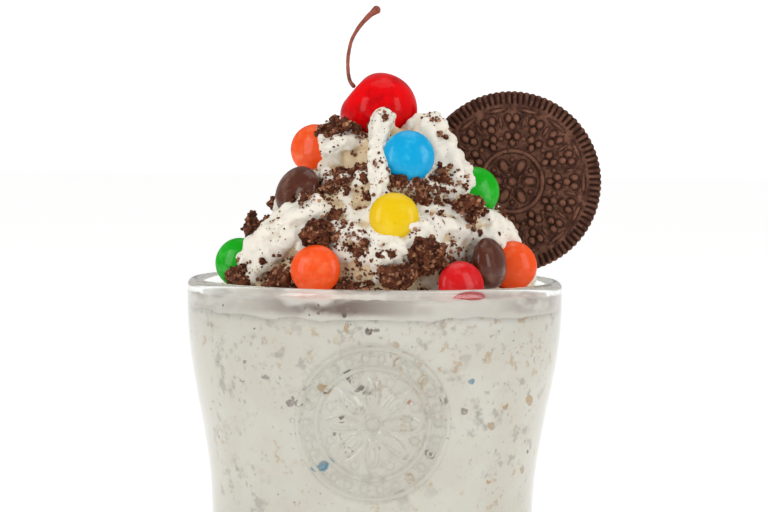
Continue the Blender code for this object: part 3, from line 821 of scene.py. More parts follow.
@dataclass
class Glass:
    """The jar glass: a swelling wall, a rounded lip, a rounded heel and a medallion pressed on its front.

    Attributes:
        rim: Outer radius of the band under the lip.
        waist: Outer radius where the swelling starts.
        base: Outer radius at the foot.
        wall: Thickness of the wall.
        band: Height of the band under the lip.
        flare: Height of the swelling.
        heel: Radius of the rounded foot.
        floor: Thickness of the floor.
        corner: Radius of the corner inside.
        medallion_drop: How far under the rim the medallion's middle lies.
        medallion: Its relief.
    """

    rim: float = 46.6
    waist: float = 40.2
    base: float = 39.0
    wall: float = 3.6
    band: float = 6.0
    flare: float = 52.0
    heel: float = 6.0
    floor: float = 10.0
    corner: float = 12.0
    medallion_drop: float = 31.6
    medallion: Relief = (
        Ring(18.1, 0.8, 0.85),
        Ring(13.4, 0.7, 0.75),
        Wreath(26, 15.8, 1.3, 1.0, 0.7),
        Wreath(8, 7.2, 4.4, 1.9, 0.7),
        Wreath(8, 7.2, 3.2, 0.9, -0.5),
        Wreath(8, 10.8, 1.2, 1.2, 0.6, 0.5),
        Wreath(1, 0.0, 1.9, 1.9, 0.6),
    )

    def outer(self, height: Array) -> Array:
        """Outer radius at a height over the base: a half cosine under the band, then a slight taper.

        Args:
            height: Heights over the base.

        Returns:
            Radii.
        """
        waist = GLASS_HEIGHT - self.band - self.flare
        low = self.base + (self.waist - self.base) * np.sqrt(np.clip(height, 0, waist) / waist)
        share = np.clip((GLASS_HEIGHT - self.band - height) / self.flare, 0, 1)
        high = self.rim - (self.rim - self.waist) * 0.5 * (1 - np.cos(np.pi * share))
        return np.where(height < waist, low, high)

    def inside(self, top: float, out: float, rows: int) -> Array:
        """The inner wall's line from a height down round the corner to the floor, moved out into the glass.

        Args:
            top: The height that it starts from.
            out: How far it reaches into the glass.
            rows: How many rows the wall has.

        Returns:
            Rows of (radius, height over the base).
        """
        knee = self.floor + self.corner - out
        side = float(self.outer(np.array(knee))) - self.wall + out
        heights = np.linspace(top, knee, rows)
        wall = np.stack([self.outer(heights) - self.wall + out, heights], axis=-1)
        bend = arc((side - self.corner, knee), self.corner, 0, -90, 16)[1:]
        floor = np.linspace(bend[-1], (0.4, self.floor - out), 8)[1:]
        return np.concatenate([wall, bend, floor])

    def on_wall(self, angles: Array, drops: Array, out: float) -> tuple[Array, Array]:
        """Places on the inner wall, moved out into the glass.

        Args:
            angles: Angles from the front.
            drops: Drops under the rim.
            out: How far they reach into the glass.

        Returns:
            The places and the outward directions there.
        """
        outward = np.stack([np.sin(angles), -np.cos(angles), 0 * angles], axis=-1)
        radii = self.outer(GLASS_HEIGHT - drops) - self.wall + out
        return outward * radii[:, None] - (0, 0, 1) * drops[:, None], outward

    def profile(self) -> Array:
        """The glass's line from the middle of its base up the outside, over the lip and down to its floor."""
        lip = self.wall / 2
        side = float(self.outer(np.array(self.heel)))
        foot = np.linspace((0.4, 0.0), (side - self.heel, 0.0), 8)[:-1]
        heel = arc((side - self.heel, self.heel), self.heel, -90, 0, 12)
        middle = GLASS_HEIGHT - self.medallion_drop
        below = np.linspace(self.heel, middle - 20.5, 34)[1:]
        beside = np.linspace(middle - 20.2, middle + 20.2, 140)
        above = np.linspace(middle + 20.8, GLASS_HEIGHT - lip, 14)
        heights = np.concatenate([below, beside, above])
        wall = np.stack([self.outer(heights), heights], axis=-1)
        over = arc((self.rim - lip, GLASS_HEIGHT - lip), lip, 0, 180, 20)[1:]
        return np.concatenate([foot, heel, wall, over, self.inside(GLASS_HEIGHT - 2.4, 0.0, 46)])

    def shell(self) -> Shell:
        """The glass's skin. On the front the outer wall stands out by the medallion's relief."""
        profile = self.profile()
        fine = np.linspace(-0.45, 0.45, 150)
        turn = np.concatenate([fine, np.linspace(0.45, 2 * math.pi - 0.45, 112)[1:-1]])
        rings = turned(profile, FRONT + turn)
        heights = profile[:, 1:]
        across = np.where(turn > math.pi, turn - 2 * math.pi, turn) * profile[:, :1]
        up = heights - (GLASS_HEIGHT - self.medallion_drop)
        outside = (np.abs(profile[:, :1] - self.outer(heights)) < 0.01) & (heights < GLASS_HEIGHT - 2)
        level = relief_level(self.medallion, np.hypot(across, up), np.arctan2(up, across)) * outside
        rings[..., 0] += level * np.cos(FRONT + turn)
        rings[..., 1] += level * np.sin(FRONT + turn)
        # The steep level marks where the glass's finish paints shade on the relief's edges.
        steep = ease(np.hypot(*np.gradient(level)) / 0.28)
        return shell_of_rings(rings - RIM, {"steep": steep})

    def build(self) -> None:
        """Shows the glass."""
        show("jar_glass", self.shell(), ClearGlass().material(), ("glass",), 50)


@dataclass
class Shake:
    """The drink, filling the glass up to an uneven line, and the flecks pressed against the wall.

    Attributes:
        glass: The glass it fills.
        drop: How far its level lies under the rim.
        into_wall: How far it reaches into the glass, so that no air shows.
        flecks: Count of small flecks.
        known: Single flecks: angle from the front in degrees, drop under the rim, radius and colour level.
    """

    glass: Glass
    drop: float = 7.0
    into_wall: float = 0.25
    flecks: int = 130
    known: tuple[tuple[float, float, float, float], ...] = (
        (-18.3, 42.1, 2.1, 0.9),
        (32.5, 21.6, 1.0, 0.9),
        (-6.9, 21.2, 1.1, 0.1),
        (-4.4, 22.4, 1.2, 0.1),
        (-2.0, 23.6, 1.0, 0.5),
        (22.9, 25.9, 1.0, 0.1),
        (24.6, 26.1, 0.6, 0.1),
        (-16.2, 22.6, 1.0, 0.75),
        (-14.6, 24.2, 0.8, 0.1),
        (11.9, 26.4, 1.0, 0.97),
        (-8.0, 8.7, 1.0, 0.75),
        (-1.4, 9.5, 1.1, 0.1),
        (0.8, 9.2, 0.8, 0.5),
        (-10.3, 31.1, 0.5, 0.1),
        (43.0, 32.5, 1.5, 0.75),
        (48.5, 28.0, 1.0, 0.75),
        (62.0, 27.0, 1.6, 0.75),
        (66.0, 44.5, 1.7, 0.75),
        (-8.5, 39.2, 0.7, 0.75),
        (45.5, 46.8, 0.8, 0.75),
        (-36.0, 21.1, 1.2, 0.5),
        (31.0, 28.7, 1.0, 0.5),
        (-46.5, 22.6, 0.7, 0.1),
        (-27.0, 26.5, 1.4, 0.5),
    )

    def shell(self) -> Shell:
        """The drink's skin, its edge raised and lowered round the wall by noise."""
        level = GLASS_HEIGHT - self.drop
        side = self.glass.inside(level, self.into_wall, 60)
        top = np.linspace((0.4, level), (side[0, 0] - 1.0, level + 0.1), 10)
        profile = np.concatenate([top, side])
        rings = turned(profile, round_circle(220)) - RIM
        near_top = ease((profile[:, 1:] - level + 8) / 8)
        rings[..., 2] += near_top * 0.7 * rough(rings * (1, 1, 0), 6.0, 4, 31)
        return shell_of_rings(rings)

    def fleck_shell(self) -> Shell:
        """Flat ragged flecks on the drink's side: known ones, and the rest at random, most of them small."""
        draw = np.random.default_rng(5)
        angles, drops, sizes, kinds = np.array(self.known).T
        angles = np.concatenate([np.radians(angles), draw.uniform(-math.pi, math.pi, self.flecks)])
        drops = np.concatenate([drops, 8 + 92 * draw.random(self.flecks) ** 1.6])
        sizes = np.concatenate([sizes, 0.12 + 0.5 * draw.random(self.flecks) ** 2.5])
        kinds = np.concatenate([kinds, draw.uniform(0, 0.99, self.flecks)])
        places, outward = self.glass.on_wall(angles, drops, self.into_wall)
        made = scattered(1, places, outward, sizes, 60, flat=0.9, lift=0.0)
        levels = {"kind": np.repeat(kinds, len(ball(1).points))}
        coarse, fine = (
            np.stack([ripple(made.points, size, seed + k) for k in range(3)], axis=-1)
            for size, seed in ((0.8, 61), (0.35, 70))
        )
        return Shell(made.points + 0.16 * coarse + 0.12 * fine, made.triangles, levels)

    def build(self) -> None:
        """Shows the drink and its flecks."""
        show("thick_shake", self.shell(), ThickShake().material(), ("milkshake",))
        show("shake_flecks", self.fleck_shell(), FleckColours().material(), sharp=40)


# Broken cookie


def rocks(count: int, level: int, seed: int, facets: int = 11) -> Array:
    """Unit crumbs, each the room inside some random planes: the least of plane distance over cosine.

    Args:
        count: How many crumbs.
        level: How often the ball under them is halved.
        seed: Which crumbs.
        facets: How many planes each has.

    Returns:
        Points, one block to a crumb.
    """
    draw = np.random.default_rng(seed)
    ways = draw.normal(size=(count, facets, 3))
    ways /= np.linalg.norm(ways, axis=-1, keepdims=True)
    reach = draw.uniform(0.6, 1.0, (count, 1, facets))
    cosines = np.einsum("nd,kfd->knf", ball(level).points, ways)
    radii = np.clip((reach / np.maximum(cosines, 0.1)).min(axis=-1), 0.5, 1.3)
    return radii[..., None] * ball(level).points * draw.uniform(0.78, 1.22, (count, 1, 3))


def scattered(
    level: int, places: Array, normals: Array, sizes: Array, seed: int, flat: float = 0.3, lift: float = 0.35
) -> Shell:
    """Crumbs lying on a surface, squashed along its normal.

    Args:
        level: How often the ball under a crumb is halved.
        places: Where they lie.
        normals: The surface's normals there.
        sizes: Their radii.
        seed: Which crumbs.
        flat: Share of their height that the squash takes.
        lift: How far their middles stand off the surface, in radii.

    Returns:
        The crumbs as one skin, each with its own random shade.
    """
    count = len(places)
    points = rocks(count, level, seed) * sizes[:, None, None]
    height = np.einsum("knd,kd->kn", points, normals)
    points = points - flat * height[..., None] * normals[:, None]
    points += (places + normals * sizes[:, None] * lift)[:, None]
    each = len(ball(level).points)
    triangles = ball(level).triangles[None] + each * np.arange(count)[:, None, None]
    shade = np.repeat(np.random.default_rng(seed + 1).random(count) ** 2.4, each)
    return Shell(points.reshape(-1, 3), triangles.reshape(-1, 3), {"shade": shade})


def grained(shell: Shell, size: float, depth: float, seed: int) -> Shell:
    """A skin broken up into grains: pushed out near each grain's middle, and by the grain's own level."""
    near, own = grains(shell.points, size, seed)
    fine = 0.3 * ripple(shell.points, 0.4 * size, seed + 7)
    return shell.pushed(depth * (0.5 - near + 1.1 * (own - 0.5) + fine))


def strewn(skin: Shell, weight: Array, count: int, draw: np.random.Generator) -> tuple[Array, Array]:
    """Random places on a skin, as likely on each triangle as its area times a weight.

    Args:
        skin: The skin.
        weight: One weight to a triangle.
        count: How many places.
        draw: The source of chance.

    Returns:
        Places and the skin's normals there.
    """
    flats = skin.flats()
    area = np.linalg.norm(flats, axis=1)
    chance = area * weight
    chosen = draw.choice(len(area), count, p=chance / chance.sum())
    share = draw.dirichlet((1, 1, 1), count)
    places = np.einsum("ck,ckd->cd", share, skin.points[skin.triangles[chosen]])
    return places, flats[chosen] / area[chosen, None]


def gritty(skin: Shell, count: int, least: float, most: float, seed: int) -> Shell:
    """A skin with small grains of broken cookie stuck all over it.

    Args:
        skin: The skin.
        count: How many grains.
        least: The smallest grain's radius.
        most: The largest grain's radius.
        seed: Which grains.

    Returns:
        The skin and its grains.
    """
    draw = np.random.default_rng(seed)
    places, normals = strewn(skin, np.ones(len(skin.triangles)), count, draw)
    sizes = least + (most - least) * draw.random(count) ** 1.6
    return joined([skin, scattered(0, places, normals, sizes, seed, flat=0.1, lift=0.15)])


class Kind(Enum):
    """How a piece of cookie broke."""

    CRAG = "crag"
    PLATE = "plate"


@dataclass
class Chunk:
    """A broken piece of cookie that a solid stands for.

    Attributes:
        name: The solid's name.
        centre: Its middle.
        half: Half its sizes: across, through and up.
        kind: How it broke.
        detail: How often the ball under it is halved.
    """

    name: str
    centre: Place
    half: Place
    kind: Kind
    detail: int = 4

    def shell(self, seed: int) -> Shell:
        """A faceted lump or plate of its sizes, with grains of broken crumb over it.

        Args:
            seed: Which lump.

        Returns:
            The skin, with a shade level from each grain's own random tone, darker towards the grain's edge as
            painted shade between grains.
        """
        unit = rocks(1, self.detail, seed, 15)[0] * 1.2
        across, through, up = self.half
        if self.kind is Kind.PLATE:
            coarse, fine, cover = 0.3, 0.14, 1
            flat = np.clip(unit[:, 2] * 1.7, -1, 1)
            points = np.stack([unit[:, 0] * across, unit[:, 1] * up, flat * through], axis=-1)
            points = carried(points, Matrix.Translation(self.centre) @ facing((*self.centre[:2], 12.0)))
        else:
            coarse, fine, cover = 0.85, 0.34, 3
            points = unit * self.half + self.centre
        shell = Shell(points, ball(self.detail).triangles)
        shell = grained(grained(shell, 1.7, coarse, seed), 0.7, fine, seed + 3)
        near, own = grains(shell.points, 0.9, seed + 3)
        # Shade level: each grain's random tone, lowered near its edge as painted shade in the crevices.
        shade = np.clip(0.9 * own**2 + 0.35 - 0.8 * near, 0, 1)
        grit = round(1.5 * math.pi * across * up * cover)
        return gritty(Shell(shell.points, shell.triangles, {"shade": shade}), grit, 0.25, 0.7, seed + 5)


@dataclass
class BrokenCookie:
    """The broken pieces set in the cream, and the crumbs strewn over it.

    Attributes:
        chunks: The larger pieces.
        clusters: Where crumbs gather: place, spread and weight.
        counts: Coarse, small and fine crumbs.
        wall_crumbs: Crumbs pressed against the glass under its rim.
    """

    chunks: tuple[Chunk, ...] = (
        Chunk("chunk_front", (12.2, -33.4, 7.9), (5.6, 2.9, 3.8), Kind.CRAG, 5),
        Chunk("chunk_wafer_front", (6.2, -37.2, 2.8), (3.8, 1.5, 3.0), Kind.PLATE, 5),
        Chunk("chunk_left", (-13.6, -30.6, 12.2), (3.0, 2.4, 3.2), Kind.CRAG),
        Chunk("chunk_wafer_left", (-30.6, -6.6, 13.0), (3.0, 1.5, 2.8), Kind.PLATE),
        Chunk("chunk_green", (-33.4, -18.2, 1.4), (3.6, 1.5, 2.2), Kind.PLATE),
        Chunk("chunk_rim", (-22.6, -30.8, 0.9), (3.2, 1.8, 1.7), Kind.PLATE),
        Chunk("chunk_high", (-9.2, -13.6, 37.6), (3.2, 1.7, 1.5), Kind.CRAG),
        Chunk("chunk_right", (21.6, -24.2, 19.4), (2.8, 2.2, 2.4), Kind.CRAG),
        Chunk("chunk_back", (9.0, 30.5, 10.0), (4.4, 2.6, 3.4), Kind.CRAG),
        Chunk("chunk_wafer_back", (-24.5, 18.5, 18.0), (3.4, 1.5, 2.8), Kind.PLATE),
    )
    clusters: tuple[tuple[float, float, float, float, float], ...] = (
        (-8.9, -10.2, 36.7, 2.2, 0.8),
        (-16.2, -25.0, 20.5, 2.0, 1.2),
        (-12.2, -20.8, 22.5, 2.2, 1.3),
        (-7.9, -21.7, 24.1, 2.2, 1.3),
        (-3.8, -21.2, 26.3, 1.8, 1.0),
        (2.9, -24.0, 25.7, 1.6, 0.7),
        (6.3, -23.1, 24.3, 2.4, 1.8),
        (9.7, -22.4, 23.3, 2.4, 1.4),
        (12.6, -21.3, 23.3, 1.9, 0.9),
        (16.5, -18.7, 25.0, 2.0, 1.0),
        (20.0, -17.0, 25.2, 1.6, 0.6),
        (18.0, -19.5, 20.4, 1.6, 0.5),
        (21.2, -17.6, 18.4, 2.0, 0.8),
        (22.9, -21.2, 16.2, 2.0, 1.0),
        (-9.3, -29.6, 11.9, 1.8, 1.1),
        (-5.2, -30.9, 10.4, 2.2, 1.6),
        (-1.2, -30.6, 9.6, 1.8, 1.0),
        (9.8, -31.7, 12.2, 1.6, 0.7),
        (-19.7, -30.4, 0.6, 2.4, 1.2),
        (-11.7, -33.6, 0.1, 2.4, 1.8),
        (-6.9, -35.7, 0.6, 2.6, 1.8),
        (-2.2, -36.4, 0.4, 2.2, 1.3),
        (1.1, -14.7, 40.0, 1.4, 0.5),
        (13.3, -9.7, 38.7, 1.6, 0.6),
        (3.0, -34.5, 6.1, 1.8, 0.8),
        (-2.6, -30.0, 5.0, 1.6, 0.8),
        (25.0, -15.0, 5.5, 2.2, 0.7),
        (30.2, -6.5, 16.4, 2.4, 0.9),
        (-27.5, -12.0, 13.0, 2.4, 1.0),
        (-21.5, -16.0, 22.0, 2.0, 0.8),
        (19.0, -27.0, 4.0, 2.4, 0.9),
        (-21.4, -20.5, 13.0, 1.6, 0.6),
        (-17.5, -24.0, 12.5, 1.5, 0.6),
        (-28.7, -17.0, 4.3, 2.0, 0.8),
        (-30.5, -19.0, 1.5, 2.0, 0.9),
        (-25.8, -24.0, 1.5, 2.0, 0.9),
        (-22.9, -25.0, 3.8, 2.0, 0.9),
        (-9.9, -27.0, 16.6, 1.5, 0.8),
        (-6.3, -18.5, 27.5, 2.0, 1.0),
        (-3.4, -13.0, 36.0, 1.5, 0.35),
        (-10.6, -13.5, 35.0, 1.4, 0.35),
        (16.5, -9.0, 34.7, 1.6, 0.4),
        (13.0, -22.0, 20.0, 1.6, 0.8),
        (14.7, -25.0, 16.0, 1.4, 0.7),
        (28.5, -12.0, 13.9, 2.0, 0.9),
        (18.3, -27.0, 9.4, 1.6, 0.7),
        (-16.0, 24.0, 20.0, 3.0, 1.5),
        (-4.0, 22.0, 24.0, 3.0, 1.3),
        (6.0, 27.0, 16.0, 3.0, 1.5),
        (16.0, 24.0, 12.0, 3.4, 1.5),
        (-26.0, 16.0, 10.0, 3.2, 1.3),
        (-6.0, 33.0, 2.0, 3.4, 1.6),
        (14.0, 31.0, 2.0, 3.4, 1.5),
        (-30.0, 8.0, 14.0, 3.0, 1.2),
        (-5.0, 12.0, 36.0, 2.4, 0.9),
    )
    counts: tuple[int, int, int] = (230, 3700, 4700)
    wall_crumbs: int = 14

    def near(self, places: Array) -> Array:
        """The clusters' weight at some places: a sum of bell curves, each times its own weight."""
        total = np.zeros(len(places))
        for x, y, z, spread, weight in self.clusters:
            apart = np.sum((places - (x, y, z)) ** 2, axis=1)
            total += weight * np.exp(-apart / (2 * spread**2))
        return total

    def crumb_shells(self, cream: Shell, free: "Clearance") -> list[Shell]:
        """The coarse, small and fine crumbs on the cream.

        Args:
            cream: The cream's skin.
            free: Tells which places are clear of the pieces set in it.

        Returns:
            The three kinds.
        """
        draw = np.random.default_rng(3)
        middles = cream.points[cream.triangles].mean(axis=1)
        upright = cream.flats()
        upright = upright[:, 2] / np.maximum(np.linalg.norm(upright, axis=1), 1e-12)
        seen = ease((upright + 0.75) / 0.6) * (middles[:, 2] > -1.6)
        fold = cream.levels["fold"][cream.triangles].mean(axis=1)
        gathered = self.near(middles)
        patch = ease(0.5 + 1.4 * rough(middles, 6.0, 2, 77))
        back = ease((middles[:, 1] - 4) / 8)
        weights = (
            seen * (gathered + 0.012 + 0.1 * back * fold),
            seen * (gathered + 0.008 + 0.2 * fold * patch + 0.025 * patch),
            seen * (0.9 * gathered + 0.02 + 0.5 * fold * patch + 0.2 * patch),
        )
        # Each kind's detail, its least and greatest radius, and how far its radii lean to the least
        kinds = ((1, 0.6, 1.6, 1.6), (0, 0.24, 0.62, 2.0), (0, 0.08, 0.24, 1.5))
        made = []
        for kind, (detail, least, most, power) in enumerate(kinds):
            places, normals = strewn(cream, weights[kind], self.counts[kind], draw)
            sizes = least + (most - least) * draw.random(self.counts[kind]) ** power
            clear = free.clear(places, 0.45 * sizes)
            made.append(scattered(detail, places[clear], normals[clear], sizes[clear], 200 + 10 * kind))
        made[0] = gritty(made[0], 5200, 0.2, 0.5, 90)
        return made

    def wall_shell(self, glass: Glass) -> Shell:
        """Crumbs pressed flat against the glass in the band of cream under the rim, most of them in front."""
        draw, count = np.random.default_rng(8), self.wall_crumbs
        gathers, in_front = draw.random(count) < 0.6, draw.normal(-0.25, 0.42, count)
        angles = np.where(gathers, in_front, draw.uniform(-math.pi, math.pi, count))
        places, outward = glass.on_wall(angles, draw.uniform(3.4, 7.4, count), 0.1)
        sizes = 0.2 + 0.6 * draw.random(count) ** 2
        return scattered(1, places, outward, sizes, 95, flat=0.8, lift=0.0)

    def build(self, cream: Shell, free: "Clearance", glass: Glass) -> None:
        """Shows the chunks and the crumbs.

        Args:
            cream: The cream's skin.
            free: Tells which places are clear of the pieces set in it.
            glass: The glass.
        """
        looks = (
            BakedCookie("broken_cookie_finish", (116, 66, 44), (56, 25, 15), (176, 126, 94), 0.12),
            BakedCookie("small_crumb_finish", (132, 80, 54), (78, 38, 24), (184, 136, 102)),
            BakedCookie("fine_crumb_finish", (152, 106, 78), (118, 76, 54), (186, 148, 120)),
            BakedCookie("soaked_crumb_finish", (156, 134, 122), (130, 110, 98), (184, 164, 150)),
        )
        finishes = [look.material() for look in looks]
        for i, chunk in enumerate(self.chunks):
            show(chunk.name + "_broken", chunk.shell(40 + i), finishes[0], (chunk.name,), 48)
        names = ("crumbs_coarse", "crumbs_small", "crumbs_fine", "crumbs_on_glass")
        shells = [*self.crumb_shells(cream, free), self.wall_shell(glass)]
        for name, shell, finish in zip(names, shells, finishes):
            show(name, shell, finish, sharp=38)


# Cream


@dataclass
class Rope:
    """A piped rope: a lobed section carried along a path.

    Attributes:
        path: Rows of place and radius.
        lobes: Lobes round its section.
        seed: Which unevenness.
        sides: Points round its section.
        depth: Depth of the lobes, as a share of the radius.
        twist: Turn of the lobes to a millimetre of its length.
        pulse: Depth of the scallops, as a share of the radius.
        pulse_length: Length of a scallop.
    """

    path: Array
    lobes: int
    seed: int
    sides: int = 72
    depth: float = 0.26
    twist: float = 0.05
    pulse: float = 0.19
    pulse_length: float = 3.8

    def shell(self) -> Shell:
        """The rope's skin.

        The section's reach is the radius times 1 plus the lobes, the cosine of half the lobe angle without
        its sign, plus slanted scallops along the rope, the sine without its sign. Each end closes as half a
        ball does.

        Returns:
            The skin.
        """
        middle, radius = self.path[:, :3], self.path[:, 3]
        step = np.gradient(middle, axis=0)
        length = np.linalg.norm(step, axis=1)
        forward = step / length[:, None]
        travelled = np.cumsum(length) - length[0]
        upright = np.eye(3)[np.argmin(np.abs(forward.mean(axis=0)))]
        side = np.cross(forward, upright)
        side /= np.linalg.norm(side, axis=1, keepdims=True)
        across = np.cross(side, forward)
        to_end = np.minimum(travelled, travelled[-1] - travelled) / radius
        closing = np.sqrt(np.clip(1 - (1 - np.clip(to_end + 0.02, 0, 1)) ** 2, 0.01, 1))
        angle, along = round_circle(self.sides), travelled[:, None]
        lobe = np.abs(np.cos(0.5 * self.lobes * (angle + self.twist * along))) ** 0.75
        drift = 0.8 * ripple(middle, 9.0, 40 + self.seed)[:, None]
        wave = np.abs(np.sin(math.pi * along / self.pulse_length + 1.5 * angle + drift + self.seed)) ** 0.7
        reach = (radius * closing)[:, None] * (1 + self.depth * (lobe - 0.62) + self.pulse * (wave - 0.7))
        rings = middle[:, None] + reach[..., None] * (
            np.cos(angle)[:, None] * side[:, None] + np.sin(angle)[:, None] * across[:, None]
        )
        return shell_of_rings(rings)


@dataclass
class Cream:
    """The heap of piped cream: a core, one long winding rope and single folds over it, fused together.

    Attributes:
        heap: The core's line, in rows of height and radius.
        foot: Height of its underside.
        foot_reach: Radius of its foot.
        turns: How often the rope winds round.
        start: The angle that it starts at.
        shift: How far right of the middle it starts.
        widest: How much farther out it swings at its start than at its end.
        narrowest: How far out it swings at its end.
        rise: How far it climbs.
        lean: How far its middle turns stand up to the front.
        thick: Its radius at its start.
        thinning: How much of that it loses.
        folds: Single folds: first and last radius, lobes, and places along them.
        voxel: Size of the cells that fuse the parts.
        soaked: Where crumbs soak the foot: angle from the front, spread and share.
    """

    heap: tuple[tuple[float, float], ...] = (
        (36.5, 0.5),
        (25.5, 7.5),
        (18.5, 17.5),
        (11.5, 26.5),
        (6.0, 31.5),
        (0.0, 33.5),
        (-1.6, 37.5),
        (-2.5, 41.5),
    )
    foot: float = -8.0
    foot_reach: float = 43.12
    turns: float = 3.15
    start: float = math.radians(-20)
    shift: float = 2.0
    widest: float = 25.5
    narrowest: float = 4.0
    rise: float = 32.0
    lean: float = 2.2
    thick: float = 8.3
    thinning: float = 1.7
    folds: tuple[tuple[float, float, int, tuple[Place, ...]], ...] = (
        (3.0, 2.4, 5, ((3, -10, 41.5), (1.2, -14.5, 37.5), (0.6, -21, 31), (1, -26, 24), (2, -28, 17))),
        (5.2, 6.1, 6, ((9.5, -5.5, 40), (13.4, -8.5, 34.5), (16.7, -11.5, 27.5), (20, -14, 20))),
        (6.6, 6.2, 6, ((-13, -7.5, 30), (-7.5, -9.5, 33), (-2, -10, 34))),
        (6.0, 5.6, 6, ((2.5, -28.5, 1), (3, -30.5, 6.5), (8.5, -29.5, 10.5), (15.5, -27, 11.5))),
        (6.2, 5.4, 6, ((-29, -14, -1), (-25.5, -18.5, 7), (-18.5, -22.5, 14), (-10.5, -24.5, 19))),
        (5.6, 6.2, 6, ((33, -6, 6), (28, -11.5, 11.5), (20.5, -19, 13.5))),
        (6.0, 5.4, 6, ((-8, 25, 4), (2, 22, 14), (9, 15, 24))),
    )
    voxel: float = 0.52
    soaked: tuple[tuple[float, float, float], ...] = (
        (-0.22, 0.4, 0.95),
        (1.05, 0.25, 0.6),
        (-1.2, 0.25, 0.6),
    )

    def core(self) -> Shell:
        """The heap's inside, out to its foot, which spreads over the drink to the wall."""
        line = evened(np.array(self.heap)[:, ::-1], 1.2)
        edge = np.array([(self.foot_reach, height) for height in (-2.7, -5.0, self.foot)])
        under = np.linspace(edge[-1], (0.4, self.foot), 12)[1:]
        return shell_of_rings(turned(np.concatenate([line, edge, under]), round_circle(160)))

    def winding(self) -> Shell:
        """The main rope: its reach falls with a power of the way left, and it climbs as it winds."""
        turns = np.linspace(0, self.turns, 700)
        share = turns / self.turns
        reach = self.widest * (1 - share) ** 0.72 + self.narrowest
        angle = 2 * math.pi * turns + self.start
        climb = 1 + self.rise * share - self.lean * np.sin(math.pi * share) * np.sin(angle)
        x = self.shift * (1 + 0.5 * share) + reach * np.cos(angle)
        path = [x, reach * np.sin(angle), climb, self.thick - self.thinning * share]
        return Rope(evened(np.stack(path, axis=-1), 0.8), 7, 1).shell()

    def laid(self) -> list[Shell]:
        """The single folds."""
        made = []
        for i, (first, last, lobes, points) in enumerate(self.folds):
            rows = np.array([(*p, r) for p, r in zip(points, np.linspace(first, last, len(points)))], float)
            made.append(Rope(curved(rows, 0.6), lobes, 2 + i).shell())
        return made

    def fused(self) -> Shell:
        """Core, rope and folds as one skin, by a voxel remesh.

        Returns:
            The skin, rounded a little.
        """
        parts = joined([self.core(), self.winding(), *self.laid()])
        source = bpy.data.objects.new("cream_parts", parts.mesh("cream_parts"))
        bpy.context.scene.collection.objects.link(source)
        remesh = source.modifiers.new("Fuse", "REMESH")
        remesh.mode = "VOXEL"
        remesh.voxel_size = self.voxel * MM
        mesh = bpy.data.meshes.new_from_object(source.evaluated_get(bpy.context.evaluated_depsgraph_get()))
        mesh.calc_loop_triangles()
        points = np.empty(3 * len(mesh.vertices), np.float32)
        mesh.vertices.foreach_get("co", points)
        triangles = np.empty(3 * len(mesh.loop_triangles), np.int32)
        mesh.loop_triangles.foreach_get("vertices", triangles)
        bpy.data.objects.remove(source)
        bpy.data.meshes.remove(mesh)
        shell = Shell(points.reshape(-1, 3).astype(float) / MM - RIM, triangles.reshape(-1, 3))
        return shell.facing_out().relaxed(2, 0.6)

    def shell(self) -> Shell:
        """The finished skin, with soft lumps and the depth of its folds.

        Returns:
            The skin. Its fold level is how far a point lies under the smoothed skin.
        """
        shell = self.fused()
        push = 0.55 * rough(shell.points, 4.0, 3, 11) + 0.3 * ripple(shell.points, 1.7, 21)
        push -= 0.35 * ease(1 - np.abs(rough(shell.points, 6.0, 2, 27)) / 0.12)
        push += 0.12 * ripple(shell.points, 0.9, 23)
        shell = shell.pushed(push * ease((shell.points[:, 2] + 3.2) / 1.5))
        smooth = shell.relaxed(90).points - shell.points
        # The fold level also sets the cream finish's painted shade and where crumbs gather.
        fold = np.clip(np.einsum("ij,ij->i", smooth, shell.normals()) / 0.8, 0, 1)
        return Shell(shell.points, shell.triangles, {"fold": fold, "soak": self.soak(shell.points)})

    def soak(self, points: Array) -> Array:
        """How far crumbs have soaked the cream brown: in streaks against the wall, most left of the front.

        Args:
            points: Places on the cream.

        Returns:
            Levels from 0 to 1.
        """
        x, y, z = points.T
        at_wall = ease((np.hypot(x, y) - 40.6) / 1.4) * ease((-1.0 - z) / 1.0) * ease((z + 7.4) / 2.4)
        angle = np.arctan2(x, -y)
        heavy = sum(share * np.exp(-(((angle - at) / wide) ** 2)) for at, wide, share in self.soaked)
        streaks = ease(0.66 + 0.9 * rough(points * (0.4, 0.4, 1), 2.4, 4, 43))
        return at_wall * np.clip(0.02 + heavy, 0, 1) * streaks

    def build(self) -> Shell:
        """Shows the cream and hands its skin over."""
        shell = self.shell()
        show("piped_cream", shell, PipedCream().material(), ("whipped_cream",))
        return shell


# Candies, cherry and sandwich cookie


class Candy(Enum):
    """The candies' kinds, each with its slot in the record, its colour and its gloss."""

    BLUE = ("shell_blue", (0, 154, 206), 0.24)
    YELLOW = ("shell_yellow", (222, 184, 3), 0.24)
    ORANGE = ("shell_orange", (234, 78, 22), 0.24)
    BROWN = ("shell_brown", (76, 32, 14), 0.4)
    GREEN = ("shell_green", (8, 162, 12), 0.24)
    RED = ("shell_red", (204, 14, 18), 0.24)


